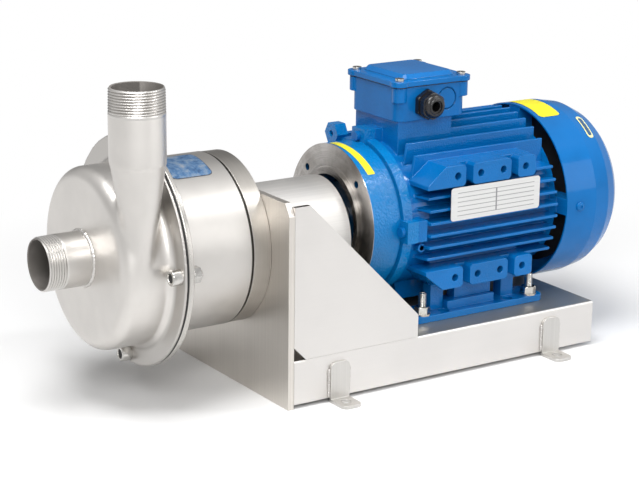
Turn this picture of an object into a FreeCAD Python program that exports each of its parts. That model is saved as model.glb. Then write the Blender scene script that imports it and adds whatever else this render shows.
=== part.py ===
import FreeCAD, Part
import math
import os
import re
import Sketcher

# Centrifugal pump on a base frame, driven by a foot-mounted motor through a jaw coupling.
# X runs along the shaft towards the motor, Z is up, and the origin is on the ground at the
# middle of the base frame. Lengths are in millimetres and angles in degrees.

SIZES = {
    # Base frame
    "base_length": 345, "base_width": 210, "base_height": 44, "base_sheet": 5, "base_lift": 4,
    "base_bend": 8, "plate_sheet": 6, "plate_height": 185, "plate_snip_side": 7,
    "plate_snip_height": 11, "gusset_sheet": 5, "gusset_height": 137.5, "gusset_flat": 15.5,
    "gusset_reach": 132, "gusset_snipe": 12, "lug_pitch": 240, "lug_width": 20, "lug_sheet": 3,
    "lug_leg": 37, "lug_tab": 25, "lug_hole_r": 4.5, "lug_hole_out": 12.5, "lug_round": 6,
    # Shaft line and fits
    "motor_centre": 90, "coupling_space": 106, "fit_gap": 0.03, "part_gap": 0.3, "seal_gap": 0.05,
    # Coupling guard
    "guard_r": 51.7, "guard_rise": 80.5, "guard_sheet": 2, "guard_length": 94, "guard_foot": 12,
    "guard_screw_r": 2, "guard_screw_inset": 14,
    # Bearing bracket and lantern
    "ring_r": 77, "ring_length": 17.4, "joint_gap": 1.8, "joint_depth": 4.2, "drum_r": 77.5,
    "drum_wall": 5, "drum_length": 70.6, "drum_spigot": 4, "housing_wall": 8, "housing_length": 54,
    "nose_length": 6, "housing_step": 3, "core_wall": 10, "core_inner_r": 40, "core_outer_r": 56,
    "bracket_screw_circle": 65, "bracket_screw_angle": 22, "bracket_screw_r": 4,
    "bracket_head_r": 6.5, "bracket_head": 8, "bracket_screw_in": 10,
    "bearing_r": 26, "bearing_bore_r": 12.5, "bearing_width": 15, "race_wall": 4.5,
    "cage_width": 9, "lip_width": 4,
    # Rear cover, seal and casing
    "flange_r": 102, "cover_flange": 5.2, "gasket": 1.2, "gasket_inset": 0.6, "gasket_width": 1.5,
    "boss_r": 28, "boss_length": 14, "seat_r": 19, "seat_width": 8, "seat_depth": 7,
    "chamber_r": 22, "seat_bore_r": 13.5, "face_ring_width": 6, "face_ring_r": 18,
    "bellows_r": 18.5, "bellows_fold": 3,
    "casing_sheet": 3, "casing_depth": 44, "casing_r": 80, "casing_round": 11,
    "volute_side": 2, "volute_drop": 1.25, "casing_root": 5, "pipe_r": 23.9, "pipe_wall": 2.5,
    "inlet_length": 40.7, "weld_bead": 2.2, "outlet_rise": 158.5, "outlet_side": 67.7,
    "outlet_proud": 4.4, "throat_lean": 3.6, "throat_top": 100, "throat_r": 10,
    "clamp_circle": 93, "clamp_count": 4, "clamp_r": 4, "clamp_head_r": 6.8, "clamp_head": 9.5,
    "clamp_socket": 6.5, "clamp_socket_depth": 5, "nut_flats": 13, "nut_height": 6.5,
    "washer_r": 8, "washer": 1.6, "screw_overrun": 2.5,
    # Impeller and pump shaft
    "impeller_r": 62, "impeller_gap": 6, "shroud": 3, "vane_width": 20, "vane_count": 6,
    "vane_thick": 3, "vane_sweep": 55, "eye_r": 22, "hub_r": 14, "hub_length": 30,
    "seal_shaft_r": 12, "impeller_bore_r": 9, "shaft_mid_r": 15, "nut_thread_r": 6,
    "nut_engage": 5, "nut_depth": 6, "cone_nut_r": 11, "cone_nut_grip": 3.5, "cone_nut_length": 8.6,
    # Coupling
    "jaw_hub_r": 27.5, "jaw_hub_length": 30, "jaw_gap": 18, "jaw_length": 16, "jaw_inner_r": 13,
    "jaw_angle": 31.5, "spider_angle": 27, "spider_width": 13, "spider_ring_r": 12,
    "spider_bore_r": 9, "jaw_count": 3, "coupling_r": 12, "key_width": 8, "key_height": 7,
    "key_length": 22, "key_seat": 4,
    # Motor shields and shaft
    "face_r": 70, "face_circle": 57.5, "face_hole_r": 3.4, "face_hole_depth": 14,
    "spigot_r": 47.5, "spigot_length": 3, "spigot_wall": 5.5, "recess_depth": 13,
    "recess_floor_r": 33, "shield_length": 29, "groove_width": 2, "groove_depth": 1.6,
    "rim_length": 10, "rim_r": 73, "shield_wall": 6, "motor_boss_r": 33, "motor_seat": 4,
    "motor_shaft_r": 12, "motor_shaft_length": 50, "motor_mid_r": 16, "fan_seat_r": 10,
    "ear_circle": 74.9, "ear_half": 10, "ear_in": 9, "ear_out": 7, "ear_count": 4,
    "ear_length": 12, "tie_screw_r": 2.5,
    "tie_head_r": 4.6, "tie_head": 4, "tie_screw_in": 8, "lifting_circle": 80.5,
    "lifting_angle": 60, "lifting_flats": 19, "lifting_hole_r": 3, "lifting_width": 12,
    "lifting_back": 15,
    # Motor frame
    "frame_length": 162.5, "stator_r": 65, "frame_wall": 4.5, "fin_r": 85, "fin_start": 7.5,
    "fin_length": 153, "fin_pitch": 11.4, "fin_thick": 2.8, "side_fins": 8, "top_pitch": 12.4,
    "top_fins": 10, "belly_fins": 6, "fin_slant": 5, "pad_out": 86, "pad_inner": 40,
    "pad_offset": 48, "pad_height": 20, "pad_start": 26.5, "pad_length": 104,
    "hole_start": 40, "hole_pitch": 26.2, "pad_slot": 8, "pad_slot_depth": 12,
    "pad_nose": 20, "pad_nose_edge": 4, "pad_corner": 2.5, "pad_hole_r": 3.3,
    "pad_hole_depth": 12, "boss_inner": 52, "boss_outer": 64, "boss_top": 26,
    "earth_drop": 18, "earth_r": 4.2, "earth_in": 9.3, "earth_hole_r": 1.6, "earth_hole": 4,
    "earth_out": 5,
    "stator_length": 95, "stator_start": 68, "rotor_r": 38, "air_gap": 0.5, "winding_over": 18,
    "winding_wall": 20, "winding_clear": 3, "rear_shield_length": 15, "rear_plate": 8,
    "rear_ear_back": 26, "rear_ear_width": 16, "rear_ear_height": 30, "cowl_clear": 0.5,
    # Fan and cowl
    "cowl_start": 212, "cowl_r": 86, "cowl_sheet": 1.5, "cowl_straight": 36, "cowl_length": 76.5,
    "cowl_shoulder_r": 83, "cowl_shoulder": 54, "cowl_end_r": 71.5, "cowl_end": 72.5,
    "cowl_drawn": 66.5, "cowl_drawn_r": 76.8, "cowl_flat_r": 64, "grille_slot": 4,
    "grille_pitch": 8.2, "grille_rings": 7, "grille_hub_r": 8, "grille_spoke": 7,
    "cowl_screw_in": 15.5, "cowl_screw_r": 2, "cowl_head_r": 4.5, "cowl_head": 2.6,
    "cowl_screw_count": 4, "cowl_screw_length": 9, "fan_start": 231, "fan_width": 24, "fan_r": 72,
    "fan_hub_r": 17, "fan_blades": 8, "fan_blade": 2.4, "fan_disc": 3,
    # Motor feet
    "foot_offset": 56, "foot_pitch": 125, "foot_gauge": 140, "foot_outer": 78, "foot_inner": 44,
    "foot_sole": 6.5, "foot_overhang": 14, "foot_web_top": 25.5, "foot_web_inset": 55,
    "boss_inset": 25, "ridge_start": 43, "ridge_length": 55, "ridge_outer": 70,
    "ridge_height": 8, "foot_corner": 8, "foot_hole_r": 5, "foot_hole_pitch": 100, "foot_bolt_r": 3,
    "foot_bolt_boss": 7.5, "foot_bolt_head_r": 5, "foot_bolt_head": 4,
    "foot_bolt_inset": 35, "foot_bolt_in": 10,
    "stud_r": 4, "stud_top": 22, "stud_below": 13, "weld_nut": 6.5,
    # Terminal box
    "neck_start": 49.5, "neck_length": 61, "neck_half": 34.5, "neck_top": 92, "neck_wall": 5,
    "box_start": 45.9, "box_length": 78.2, "box_half": 38.6, "box_height": 31.5, "box_wall": 4,
    "box_round": 9.5, "lid_over": 2.5, "lid_sheet": 5, "lid_rise": 4.6, "lid_inset": 8.1,
    "lid_side": 4.4, "lid_round": 9, "lid_chamfer": 4, "lid_ear_r": 6.7, "lid_ear_over": 2,
    "lid_ear_height": 13.5, "lid_screw_r": 2, "lid_head_r": 4.2, "lid_head": 2.6,
    "lid_screw_inset": 4.3, "lid_screw_in": 12, "box_gasket": 1, "block_length": 46,
    "block_width": 30, "block_height": 12, "block_stud_r": 2.5, "block_stud": 9,
    "block_pitch": 15, "gland_in": 31.8, "gland_drop": 17, "gland_flats": 25, "gland_hex": 5,
    "gland_neck_r": 9.5, "gland_nut_flats": 23, "gland_nut": 7, "gland_dome": 5,
    "gland_hole_r": 4.5, "gland_crown_r": 7.5, "knockout_in": 55.5, "knockout_r": 10.5,
    "knockout_drop": 14, "knockout_width": 1, "knockout_depth": 0.8,
    "rating_start": 74, "rating_length": 103, "rating_low": 6, "rating_height": 31,
    "rating_sheet": 1, "rating_corner": 3,
}

# Places that follow from the sizes: stations along the shaft and heights above the ground.
PLACES = {
    "shaft_z": "base_height + motor_centre",
    "plate_front": "-base_length / 2",
    "plate_back": "plate_front + plate_sheet",
    "face_x": "plate_back + coupling_space",
    "ring_front": "plate_front - ring_length",
    "drum_back": "ring_front - joint_gap",
    "drum_front": "drum_back - drum_length",
    "cover_front": "drum_front - cover_flange",
    "casing_back": "cover_front - gasket",
    "flange_front": "casing_back - casing_sheet",
    "casing_face": "flange_front - casing_depth",
    "inlet_mouth": "casing_face - inlet_length",
    "outlet_x": "casing_face - outlet_proud + pipe_r",
    "housing_r": "bearing_r + housing_wall",
    "housing_front": "ring_front - housing_length",
    "nose_back": "plate_back + nose_length",
    "front_bearing": "housing_front + lip_width",
    "rear_bearing": "nose_back - lip_width - bearing_width",
    "impeller_back": "cover_front - impeller_gap",
    "impeller_nose": "impeller_back - hub_length",
    "vane_front": "impeller_back - shroud - vane_width",
    "seat_front": "cover_front + seat_depth",
    "seal_front": "seat_front - seal_gap - face_ring_width",
    "shaft_start": "impeller_nose - nut_engage",
    "motor_shaft_end": "face_x - motor_shaft_length",
    "pump_hub_back": "motor_shaft_end - jaw_gap",
    "pump_hub_front": "pump_hub_back - jaw_hub_length",
    "frame_front": "face_x + shield_length + groove_width + rim_length",
    "frame_back": "frame_front + frame_length",
    "frame_r": "stator_r + frame_wall",
    "shaft_seat_front": "frame_front - motor_seat - bearing_width",
    "shaft_seat_back": "frame_back - motor_seat",
    "stator_front": "face_x + stator_start",
    "fan_front": "face_x + fan_start",
    "cowl_front": "face_x + cowl_start",
    "cowl_back": "cowl_front + cowl_length",
    "stud_front": "face_x + foot_offset",
    "foot_front": "stud_front - foot_overhang",
    "foot_length": "foot_pitch + 2 * foot_overhang",
    "foot_top": "base_height + foot_sole",
    "box_floor": "shaft_z + neck_top",
    "box_top": "box_floor + box_height",
    "box_front": "face_x + box_start",
    "lid_floor": "box_top + box_gasket",
    "lid_top": "lid_floor + lid_sheet",
    "first_hole": "frame_front + hole_start",
}

doc = FreeCAD.newDocument("centrifugal_pump")
sheet = doc.addObject("Spreadsheet::Sheet", "Sizes")


def formula(text):
    """Writes an expression on names as one on the sheet's cells, places worked out in full."""
    def swap(word):
        name = word.group(0)
        if name in PLACES:
            return f"({formula(PLACES[name])})"
        return f"Sizes.{name}" if name in SIZES else name
    return re.sub(r"[a-z_][a-z_0-9]*", swap, text)


def number(name):
    """Works out one size or place as a number."""
    if name in SIZES:
        return float(sheet.get(name))
    total = 0.0
    for sign, factor, word in re.findall(r"([+-]?)\s*(?:(\d+) \* )?([a-z_]+(?: / 2)?)", PLACES[name]):
        share = number(word.replace(" / 2", "")) * float(factor or 1)
        total += (-1 if sign == "-" else 1) * share * (0.5 if word.endswith(" / 2") else 1)
    return total


def new_body(label, on_shaft=True):
    """Starts a sub-part with its origin on the shaft's line or on the ground."""
    body = doc.addObject("PartDesign::Body", label)
    body.Label = label
    body.AllowCompound = True
    body.setExpression("Placement.Base.z", formula("shaft_z") if on_shaft else "0")
    return body


def sketch_on(body, role, offset="0"):
    """Opens a sketch on one of the body's origin planes, set off along the plane's normal."""
    sketch = body.newObject("Sketcher::SketchObject", body.Name + "_sketch")
    plane = [feature for feature in body.Origin.OriginFeatures if feature.Role == role][0]
    sketch.AttachmentSupport = [(plane, "")]
    sketch.MapMode = "FlatFace"
    sketch.setExpression("AttachmentOffset.Base.z", formula(offset))
    return sketch


def across(body, x):
    """Opens a sketch across the shaft at a station, with Y to the right and Z up."""
    return sketch_on(body, "YZ_Plane", x)


def along(body, y="0"):
    """Opens a sketch along the shaft at a distance towards the near side."""
    return sketch_on(body, "XZ_Plane", y)


def flat(body, z):
    """Opens a level sketch at a height."""
    return sketch_on(body, "XY_Plane", z)


def fix_point(sketch, index, point, x, y):
    """Ties a point of the sketch to two expressions."""
    for kind, text in (("DistanceX", x), ("DistanceY", y)):
        made = sketch.addConstraint(Sketcher.Constraint(kind, -1, 1, index, point, 1.0))
        sketch.setExpression(f"Constraints[{made}]", formula(text))


def outline(sketch, corners):
    """Draws a closed outline with straight sides through corners given as expressions."""
    count = len(corners)
    first = sketch.GeometryCount
    turns = [2 * math.pi * i / count for i in range(count)]
    start = [FreeCAD.Vector(10 * math.cos(t), 10 * math.sin(t), 0) for t in turns]
    for i in range(count):
        sketch.addGeometry(Part.LineSegment(start[i], start[(i + 1) % count]), False)
    for i in range(count):
        following = first + (i + 1) % count
        sketch.addConstraint(Sketcher.Constraint("Coincident", first + i, 2, following, 1))
        fix_point(sketch, first + i, 1, *corners[i])
    return sketch


def rectangle(sketch, x1, y1, x2, y2):
    """Draws a rectangle between two corners."""
    return outline(sketch, [(x1, y1), (x2, y1), (x2, y2), (x1, y2)])


def circle(sketch, x, y, radius):
    """Draws a circle about a point."""
    shape = Part.Circle(FreeCAD.Vector(1, 1, 0), FreeCAD.Vector(0, 0, 1), 2)
    made = sketch.addGeometry(shape, False)
    fix_point(sketch, made, 3, x, y)
    ruled = sketch.addConstraint(Sketcher.Constraint("Radius", made, 2.0))
    sketch.setExpression(f"Constraints[{ruled}]", formula(radius))
    return sketch


def hexagon(sketch, x, y, flats):
    """Draws a hexagon of the given width across flats, with a flat on top."""
    half, tip = f"{flats} / 2", f"{flats} / sqrt(3)"
    corners = [(f"{x} + {tip}", y), (f"{x} + {tip} / 2", f"{y} + {half}"),
               (f"{x} - {tip} / 2", f"{y} + {half}"), (f"{x} - {tip}", y),
               (f"{x} - {tip} / 2", f"{y} - {half}"), (f"{x} + {tip} / 2", f"{y} - {half}")]
    return outline(sketch, corners)


def pad(body, sketch, length):
    """Grows the sketch along its normal."""
    feature = body.newObject("PartDesign::Pad", body.Name + "_pad")
    feature.Profile = sketch
    feature.setExpression("Length", formula(length))
    return feature


def cut_made(body, feature, before):
    """Makes sure that a cut took something away."""
    doc.recompute()
    if body.Shape.Volume > before - 1e-6:
        raise RuntimeError(f"{feature.Name} cuts nothing from {body.Label}")
    return feature


def pocket(body, sketch, length):
    """Cuts the sketch away along its normal."""
    doc.recompute()
    before = body.Shape.Volume
    feature = body.newObject("PartDesign::Pocket", body.Name + "_pocket")
    feature.Profile = sketch
    feature.Reversed = True
    feature.setExpression("Length", formula(length))
    return cut_made(body, feature, before)


def turn(body, sketch, angle="360", centred=False):
    """Turns the sketch about the shaft's line."""
    feature = body.newObject("PartDesign::Revolution", body.Name + "_turn")
    feature.Profile = sketch
    feature.ReferenceAxis = (sketch, ["H_Axis"])
    feature.setExpression("Angle", formula(angle))
    feature.Midplane = centred
    return feature


def groove(body, sketch):
    """Cuts the sketch away all round the shaft's line."""
    doc.recompute()
    before = body.Shape.Volume
    feature = body.newObject("PartDesign::Groove", body.Name + "_groove")
    feature.Profile = sketch
    feature.ReferenceAxis = (sketch, ["H_Axis"])
    feature.Angle = 360
    return cut_made(body, feature, before)


def around(body, features, count):
    """Repeats features round the shaft's line."""
    axis = [feature for feature in body.Origin.OriginFeatures if feature.Role == "X_Axis"][0]
    feature = body.newObject("PartDesign::PolarPattern", body.Name + "_pattern")
    feature.Originals = features
    feature.Axis = (axis, [""])
    feature.Angle = 360
    feature.setExpression("Occurrences", formula(count))
    body.Tip = feature
    return feature


def mirror(body, features):
    """Repeats features on the other side of the shaft."""
    plane = [feature for feature in body.Origin.OriginFeatures if feature.Role == "XZ_Plane"][0]
    feature = body.newObject("PartDesign::Mirrored", body.Name + "_mirror")
    feature.Originals = features
    feature.MirrorPlane = (plane, [""])
    body.Tip = feature
    return feature


def dress(body, kind, size, chosen):
    """Rounds or chamfers the edges that a test picks."""
    doc.recompute()
    base = body.Tip
    names = [f"Edge{i}" for i, edge in enumerate(base.Shape.Edges, 1) if chosen(edge)]
    if not names:
        raise RuntimeError(f"no edge to dress on {body.Label}")
    feature = body.newObject("PartDesign::" + kind, body.Name + "_" + kind.lower())
    feature.Base = (base, names)
    feature.setExpression("Size" if kind == "Chamfer" else "Radius", formula(size))
    return feature


def ring_edge(x, radius):
    """Makes a test for a circle about the shaft's line at a station."""
    def test(edge):
        curve = edge.Curve
        if not isinstance(curve, Part.Circle) or abs(curve.Radius - radius) > 0.01:
            return False
        return abs(curve.Center.x - x) < 0.01
    return test


def upright_edge(edge):
    """Tells whether an edge is a straight vertical one."""
    if not isinstance(edge.Curve, (Part.Line, Part.LineSegment)):
        return False
    return abs(abs(edge.tangentAt(edge.FirstParameter).z) - 1) < 1e-6


def turned(label, corners):
    """Makes a turned sub-part from its half section, given as station and radius."""
    body = new_body(label)
    turn(body, outline(along(body), corners))
    return body


def ring(label, x1, x2, inner, outer):
    """Makes a plain ring between two stations."""
    return turned(label, [(x1, inner), (x2, inner), (x2, outer), (x1, outer)])


def fill_sheet():
    """Puts every driving size in the sheet under its own name."""
    for row, (name, value) in enumerate(SIZES.items(), 1):
        sheet.set(f"A{row}", name)
        sheet.set(f"B{row}", str(value))
        sheet.setAlias(f"B{row}", name)
    doc.recompute()


def make_base_channel():
    """Bent sheet channel, open below, with the holes for the motor's studs."""
    body = new_body("base_channel", on_shaft=False)
    half, inner = "(base_width / 2)", "(base_width / 2 - base_sheet)"
    section = across(body, "plate_back")
    outline(section, [(f"-{half}", "base_lift"), (f"-{inner}", "base_lift"),
                      (f"-{inner}", "base_height - base_sheet"),
                      (inner, "base_height - base_sheet"), (inner, "base_lift"),
                      (half, "base_lift"), (half, "base_height"), (f"-{half}", "base_height")])
    pad(body, section, "base_length - plate_sheet")
    side, top, wall = number("base_width") / 2, number("base_height"), number("base_sheet")

    def bend(out, height):
        def test(edge):
            box = edge.BoundBox
            return box.XLength > 100 and abs(abs(box.YMin) - out) < 0.1 and abs(box.ZMin - height) < 0.1
        return test

    dress(body, "Fillet", "base_bend", bend(side, top))
    dress(body, "Fillet", "base_bend - base_sheet", bend(side - wall, top - wall))
    holes = flat(body, "base_height - 2 * base_sheet")
    for x in ("stud_front", "stud_front + foot_pitch"):
        for sign in ("-", ""):
            circle(holes, x, f"{sign}foot_gauge / 2", "stud_r + part_gap")
    pocket(body, holes, "3 * base_sheet")


def make_front_plate():
    """Upright plate with snipped upper corners and a hole for the bearing housing."""
    body = new_body("front_plate", on_shaft=False)
    half, snip = "(base_width / 2)", "(base_width / 2 - plate_snip_side)"
    face = across(body, "plate_front")
    outline(face, [(f"-{half}", "0"), (half, "0"), (half, "plate_height - plate_snip_height"),
                   (snip, "plate_height"), (f"-{snip}", "plate_height"),
                   (f"-{half}", "plate_height - plate_snip_height")])
    circle(face, "0", "shaft_z", "housing_r + part_gap")
    for y, z in bracket_screw_spots():
        circle(face, y, f"shaft_z + {z}", "bracket_screw_r + part_gap")
    pad(body, face, "plate_sheet")


def bracket_screw_spots():
    """Gives the four places of the bracket's screws about the shaft."""
    y = "bracket_screw_circle * cos(bracket_screw_angle)"
    z = "bracket_screw_circle * sin(bracket_screw_angle)"
    return [(y, z), (y, f"-{z}"), (f"-{y}", z), (f"-{y}", f"-{z}")]


def make_gusset(label, offset):
    """Triangular side plate between the upright plate and the base, flush with its side."""
    body = new_body(label, on_shaft=False)
    profile = along(body, offset)
    top = "(base_height + gusset_height)"
    outline(profile, [("plate_back", "base_height + gusset_snipe"),
                      ("plate_back + gusset_snipe", "base_height"),
                      ("plate_back + gusset_reach", "base_height"),
                      ("plate_back + gusset_reach", f"{top} - gusset_reach + gusset_flat"),
                      ("plate_back + gusset_flat", top), ("plate_back", top)])
    pad(body, profile, "gusset_sheet")


def make_base_lugs():
    """Four bent holding-down lugs on the sides of the channel."""
    body = new_body("base_lugs", on_shaft=False)
    side = "base_width / 2"
    made = []
    for x in ("lug_pitch / 2", "-lug_pitch / 2"):
        leg = across(body, f"{x} - lug_width / 2")
        outline(leg, [(f"-({side})", "0"), (f"-({side} + lug_tab)", "0"),
                      (f"-({side} + lug_tab)", "lug_sheet"),
                      (f"-({side} + lug_sheet)", "lug_sheet"),
                      (f"-({side} + lug_sheet)", "lug_leg"), (f"-({side})", "lug_leg")])
        made.append(pad(body, leg, "lug_width"))
    holes = flat(body, "-lug_sheet")
    for x in ("lug_pitch / 2", "-lug_pitch / 2"):
        circle(holes, x, f"-({side} + lug_hole_out)", "lug_hole_r")
    made.append(pocket(body, holes, "3 * lug_sheet"))
    mirror(body, made)
    top = number("lug_leg")
    out = number("base_width") / 2 + number("lug_tab")

    def corner(edge):
        box = edge.BoundBox
        if box.XLength > 0.1:
            return False
        high = box.YLength > 1 and abs(box.ZMin - top) < 0.1
        wide = box.ZLength > 1 and abs(max(-box.YMin, box.YMax) - out) < 0.1
        return high or wide

    dress(body, "Fillet", "lug_round", corner)


def guard_spots():
    """Gives the four places of the guard's screws."""
    stations = ("plate_back + guard_screw_inset", "plate_back + guard_length - guard_screw_inset")
    return [(x, f"{sign}(guard_r + guard_foot / 2)") for x in stations for sign in ("", "-")]


def make_guard():
    """Arched sheet guard over the coupling, with feet turned out on the base."""
    body = new_body("coupling_guard", on_shaft=False)
    centre = "(base_height + guard_rise)"
    arch = across(body, "plate_back")
    circle(arch, "0", centre, "guard_r")
    circle(arch, "0", centre, "guard_r - guard_sheet")
    pad(body, arch, "guard_length")
    below = across(body, "plate_back")
    rectangle(below, "-2 * guard_r", f"{centre} - 2 * guard_r", "2 * guard_r", centre)
    pocket(body, below, "guard_length")
    for sign in ("", "-"):
        leg = across(body, "plate_back")
        inner = f"{sign}(guard_r - guard_sheet)"
        outline(leg, [(inner, "base_height"), (f"{sign}(guard_r + guard_foot)", "base_height"),
                      (f"{sign}(guard_r + guard_foot)", "base_height + guard_sheet"),
                      (f"{sign}guard_r", "base_height + guard_sheet"),
                      (f"{sign}guard_r", centre), (inner, centre)])
        pad(body, leg, "guard_length")
    holes = flat(body, "base_height - guard_sheet")
    for x, y in guard_spots():
        circle(holes, x, y, "guard_screw_r + part_gap")
    pocket(body, holes, "3 * guard_sheet")


def make_guard_screws():
    """Four screws through the guard's feet."""
    body = new_body("guard_screws", on_shaft=False)
    stems = flat(body, "base_height")
    heads = flat(body, "base_height + guard_sheet")
    for x, y in guard_spots():
        circle(stems, x, y, "guard_screw_r")
        circle(heads, x, y, "2 * guard_screw_r")
    pad(body, stems, "guard_sheet")
    pad(body, heads, "guard_sheet")


def make_bracket():
    """Bearing bracket: ring on the plate, cored web, housing tube and a nose behind."""
    body = turned("bearing_bracket", [
        ("housing_front", "bearing_r + fit_gap"),
        ("front_bearing + bearing_width", "bearing_r + fit_gap"),
        ("front_bearing + bearing_width", "bearing_r - housing_step"),
        ("rear_bearing", "bearing_r - housing_step"), ("rear_bearing", "bearing_r + fit_gap"),
        ("nose_back", "bearing_r + fit_gap"), ("nose_back", "housing_r"),
        ("plate_front", "housing_r"), ("plate_front", "ring_r"), ("ring_front", "ring_r"),
        ("ring_front", "drum_r - joint_depth"), ("drum_back", "drum_r - joint_depth"),
        ("drum_back", "drum_r - drum_wall - fit_gap"),
        ("drum_back - drum_spigot", "drum_r - drum_wall - fit_gap"),
        ("drum_back - drum_spigot", "core_outer_r"), ("plate_front - core_wall", "core_outer_r"),
        ("plate_front - core_wall", "core_inner_r"), ("drum_back - drum_spigot", "housing_r"),
        ("housing_front", "housing_r")])
    holes = across(body, "plate_front - bracket_screw_in")
    for y, z in bracket_screw_spots():
        circle(holes, y, z, "bracket_screw_r + fit_gap")
    pocket(body, holes, "bracket_screw_in + 1")


def make_bracket_screws():
    """Four cap screws from behind the plate into the bracket's ring."""
    body = new_body("bracket_screws")
    stems = across(body, "plate_front - bracket_screw_in")
    heads = across(body, "plate_back")
    for y, z in bracket_screw_spots():
        circle(stems, y, z, "bracket_screw_r")
        circle(heads, y, z, "bracket_head_r")
    pad(body, stems, "bracket_screw_in + plate_sheet")
    pad(body, heads, "bracket_head")


def make_rear_cover():
    """Rear cover of the pump: flange, spigot in the drum and the seal's boss."""
    body = turned("rear_cover", [
        ("cover_front", "chamber_r"), ("seat_front", "chamber_r"),
        ("seat_front", "seat_r + fit_gap"), ("seat_front + seat_width", "seat_r + fit_gap"),
        ("seat_front + seat_width", "seat_bore_r"), ("drum_front + boss_length", "seat_bore_r"),
        ("drum_front + boss_length", "boss_r"), ("drum_front + drum_spigot", "boss_r"),
        ("drum_front + drum_spigot", "drum_r - drum_wall - fit_gap"),
        ("drum_front", "drum_r - drum_wall - fit_gap"), ("drum_front", "flange_r"),
        ("cover_front", "flange_r")])
    hole = circle(across(body, "cover_front - 1"), "-clamp_circle", "0", "clamp_r + part_gap")
    around(body, [pocket(body, hole, "cover_flange + 2")], "clamp_count")
    rim = number("flange_r")
    edges = [ring_edge(number(place), rim) for place in ("cover_front", "drum_front")]
    dress(body, "Fillet", "cover_flange / 4", lambda edge: any(test(edge) for test in edges))


def tube(radius, start, end):
    """Makes a solid round bar between two points."""
    return Part.makeCylinder(radius, (end - start).Length, start, end - start)


def dish(radius, rounding, front, back):
    """Makes the round body of the casing about its own centre, rounded at the front."""
    corner = rounding * (1 - math.sqrt(0.5))
    points = [FreeCAD.Vector(front, 0, radius - rounding),
              FreeCAD.Vector(front + corner, 0, radius - corner),
              FreeCAD.Vector(front + rounding, 0, radius)]
    low, high = FreeCAD.Vector(front, 0, 0), FreeCAD.Vector(back, 0, 0)
    edges = [Part.LineSegment(low, points[0]).toShape(), Part.Arc(*points).toShape(),
             Part.LineSegment(points[2], FreeCAD.Vector(back, 0, radius)).toShape(),
             Part.LineSegment(FreeCAD.Vector(back, 0, radius), high).toShape(),
             Part.LineSegment(high, low).toShape()]
    solid = Part.Face(Part.Wire(edges)).revolve(low, FreeCAD.Vector(1, 0, 0), 360)
    side, drop = number("volute_side"), number("volute_drop")
    return solid.translated(FreeCAD.Vector(0, -side, number("shaft_z") - drop))


def throat(radius, end_r, top):
    """Makes the throat: a cone that widens tangentially out of the dish up to the outlet pipe."""
    up = FreeCAD.Vector(0, 0, 1)
    shaft_z = number("shaft_z")
    high = FreeCAD.Vector(number("outlet_x"), -number("outlet_side"), top)
    low = FreeCAD.Vector(high.x, high.y - number("throat_lean"), shaft_z)
    rings = [Part.Wire(Part.Circle(low, up, end_r).toShape()),
             Part.Wire(Part.Circle(high, up, radius).toShape())]
    return Part.makeLoft(rings, True, True).fuse(Part.makeSphere(end_r, low))


def make_casing():
    """Casing: volute dish, flange and tangential throat, hollowed to sheet."""
    shaft_z, skin, wall = number("shaft_z"), number("casing_sheet"), number("pipe_wall")
    face, back, pipe_r = number("casing_face"), number("casing_back"), number("pipe_r")
    front, root = number("flange_front"), number("casing_root")
    along_x = FreeCAD.Vector(1, 0, 0)
    inlet = FreeCAD.Vector(face, 0, shaft_z)
    flange = tube(number("flange_r"), FreeCAD.Vector(front, 0, shaft_z),
                  FreeCAD.Vector(back, 0, shaft_z))
    own_centre = FreeCAD.Vector(front - root, -number("volute_side"), shaft_z - number("volute_drop"))
    collar = Part.makeCone(number("casing_r"), number("casing_r") + root, root, own_centre, along_x)
    top = shaft_z + number("throat_top")
    end_r, rounding, radius = number("throat_r"), number("casing_round"), number("casing_r")
    outer = dish(radius, rounding, face, back)
    outer = outer.fuse([flange, collar, throat(pipe_r, end_r, top)])
    inner = dish(radius - skin, rounding - skin, face + skin, back + 1)
    inner = inner.fuse([tube(pipe_r - wall, inlet - along_x, inlet + along_x * (skin + 1)),
                        throat(pipe_r - wall, end_r - wall, top)])
    shell = outer.cut(inner)
    count, length = int(number("clamp_count")), number("clamp_head")
    for i in range(count):
        angle = math.pi + 2 * math.pi * i / count
        y = number("clamp_circle") * math.cos(angle)
        spot = FreeCAD.Vector(front, y, shaft_z + number("clamp_circle") * math.sin(angle))
        gap = number("part_gap")
        shell = shell.cut(tube(number("clamp_r") + gap, spot - along_x, spot + along_x * 2 * skin))
        shell = shell.cut(tube(number("clamp_head_r") + gap, spot - along_x * length, spot))
    casing = doc.addObject("Part::Feature", "volute_casing")
    casing.Label = "volute_casing"
    casing.Shape = shell.removeSplitter()
    casing.Placement = FreeCAD.Placement()


def make_pipes():
    """Inlet pipe with its weld bead on the casing's face, and the outlet pipe on the throat."""
    turned("inlet_pipe", [
        ("inlet_mouth", "pipe_r - pipe_wall"), ("casing_face", "pipe_r - pipe_wall"),
        ("casing_face", "pipe_r + weld_bead"),
        ("casing_face - weld_bead / 2", "pipe_r + 0.8 * weld_bead"),
        ("casing_face - 0.9 * weld_bead", "pipe_r + 0.3 * weld_bead"),
        ("casing_face - weld_bead", "pipe_r"), ("inlet_mouth", "pipe_r")])
    body = new_body("outlet_pipe", on_shaft=False)
    wall = flat(body, "shaft_z + throat_top")
    circle(wall, "outlet_x", "-outlet_side", "pipe_r")
    circle(wall, "outlet_x", "-outlet_side", "pipe_r - pipe_wall")
    pad(body, wall, "outlet_rise - throat_top")


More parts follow.
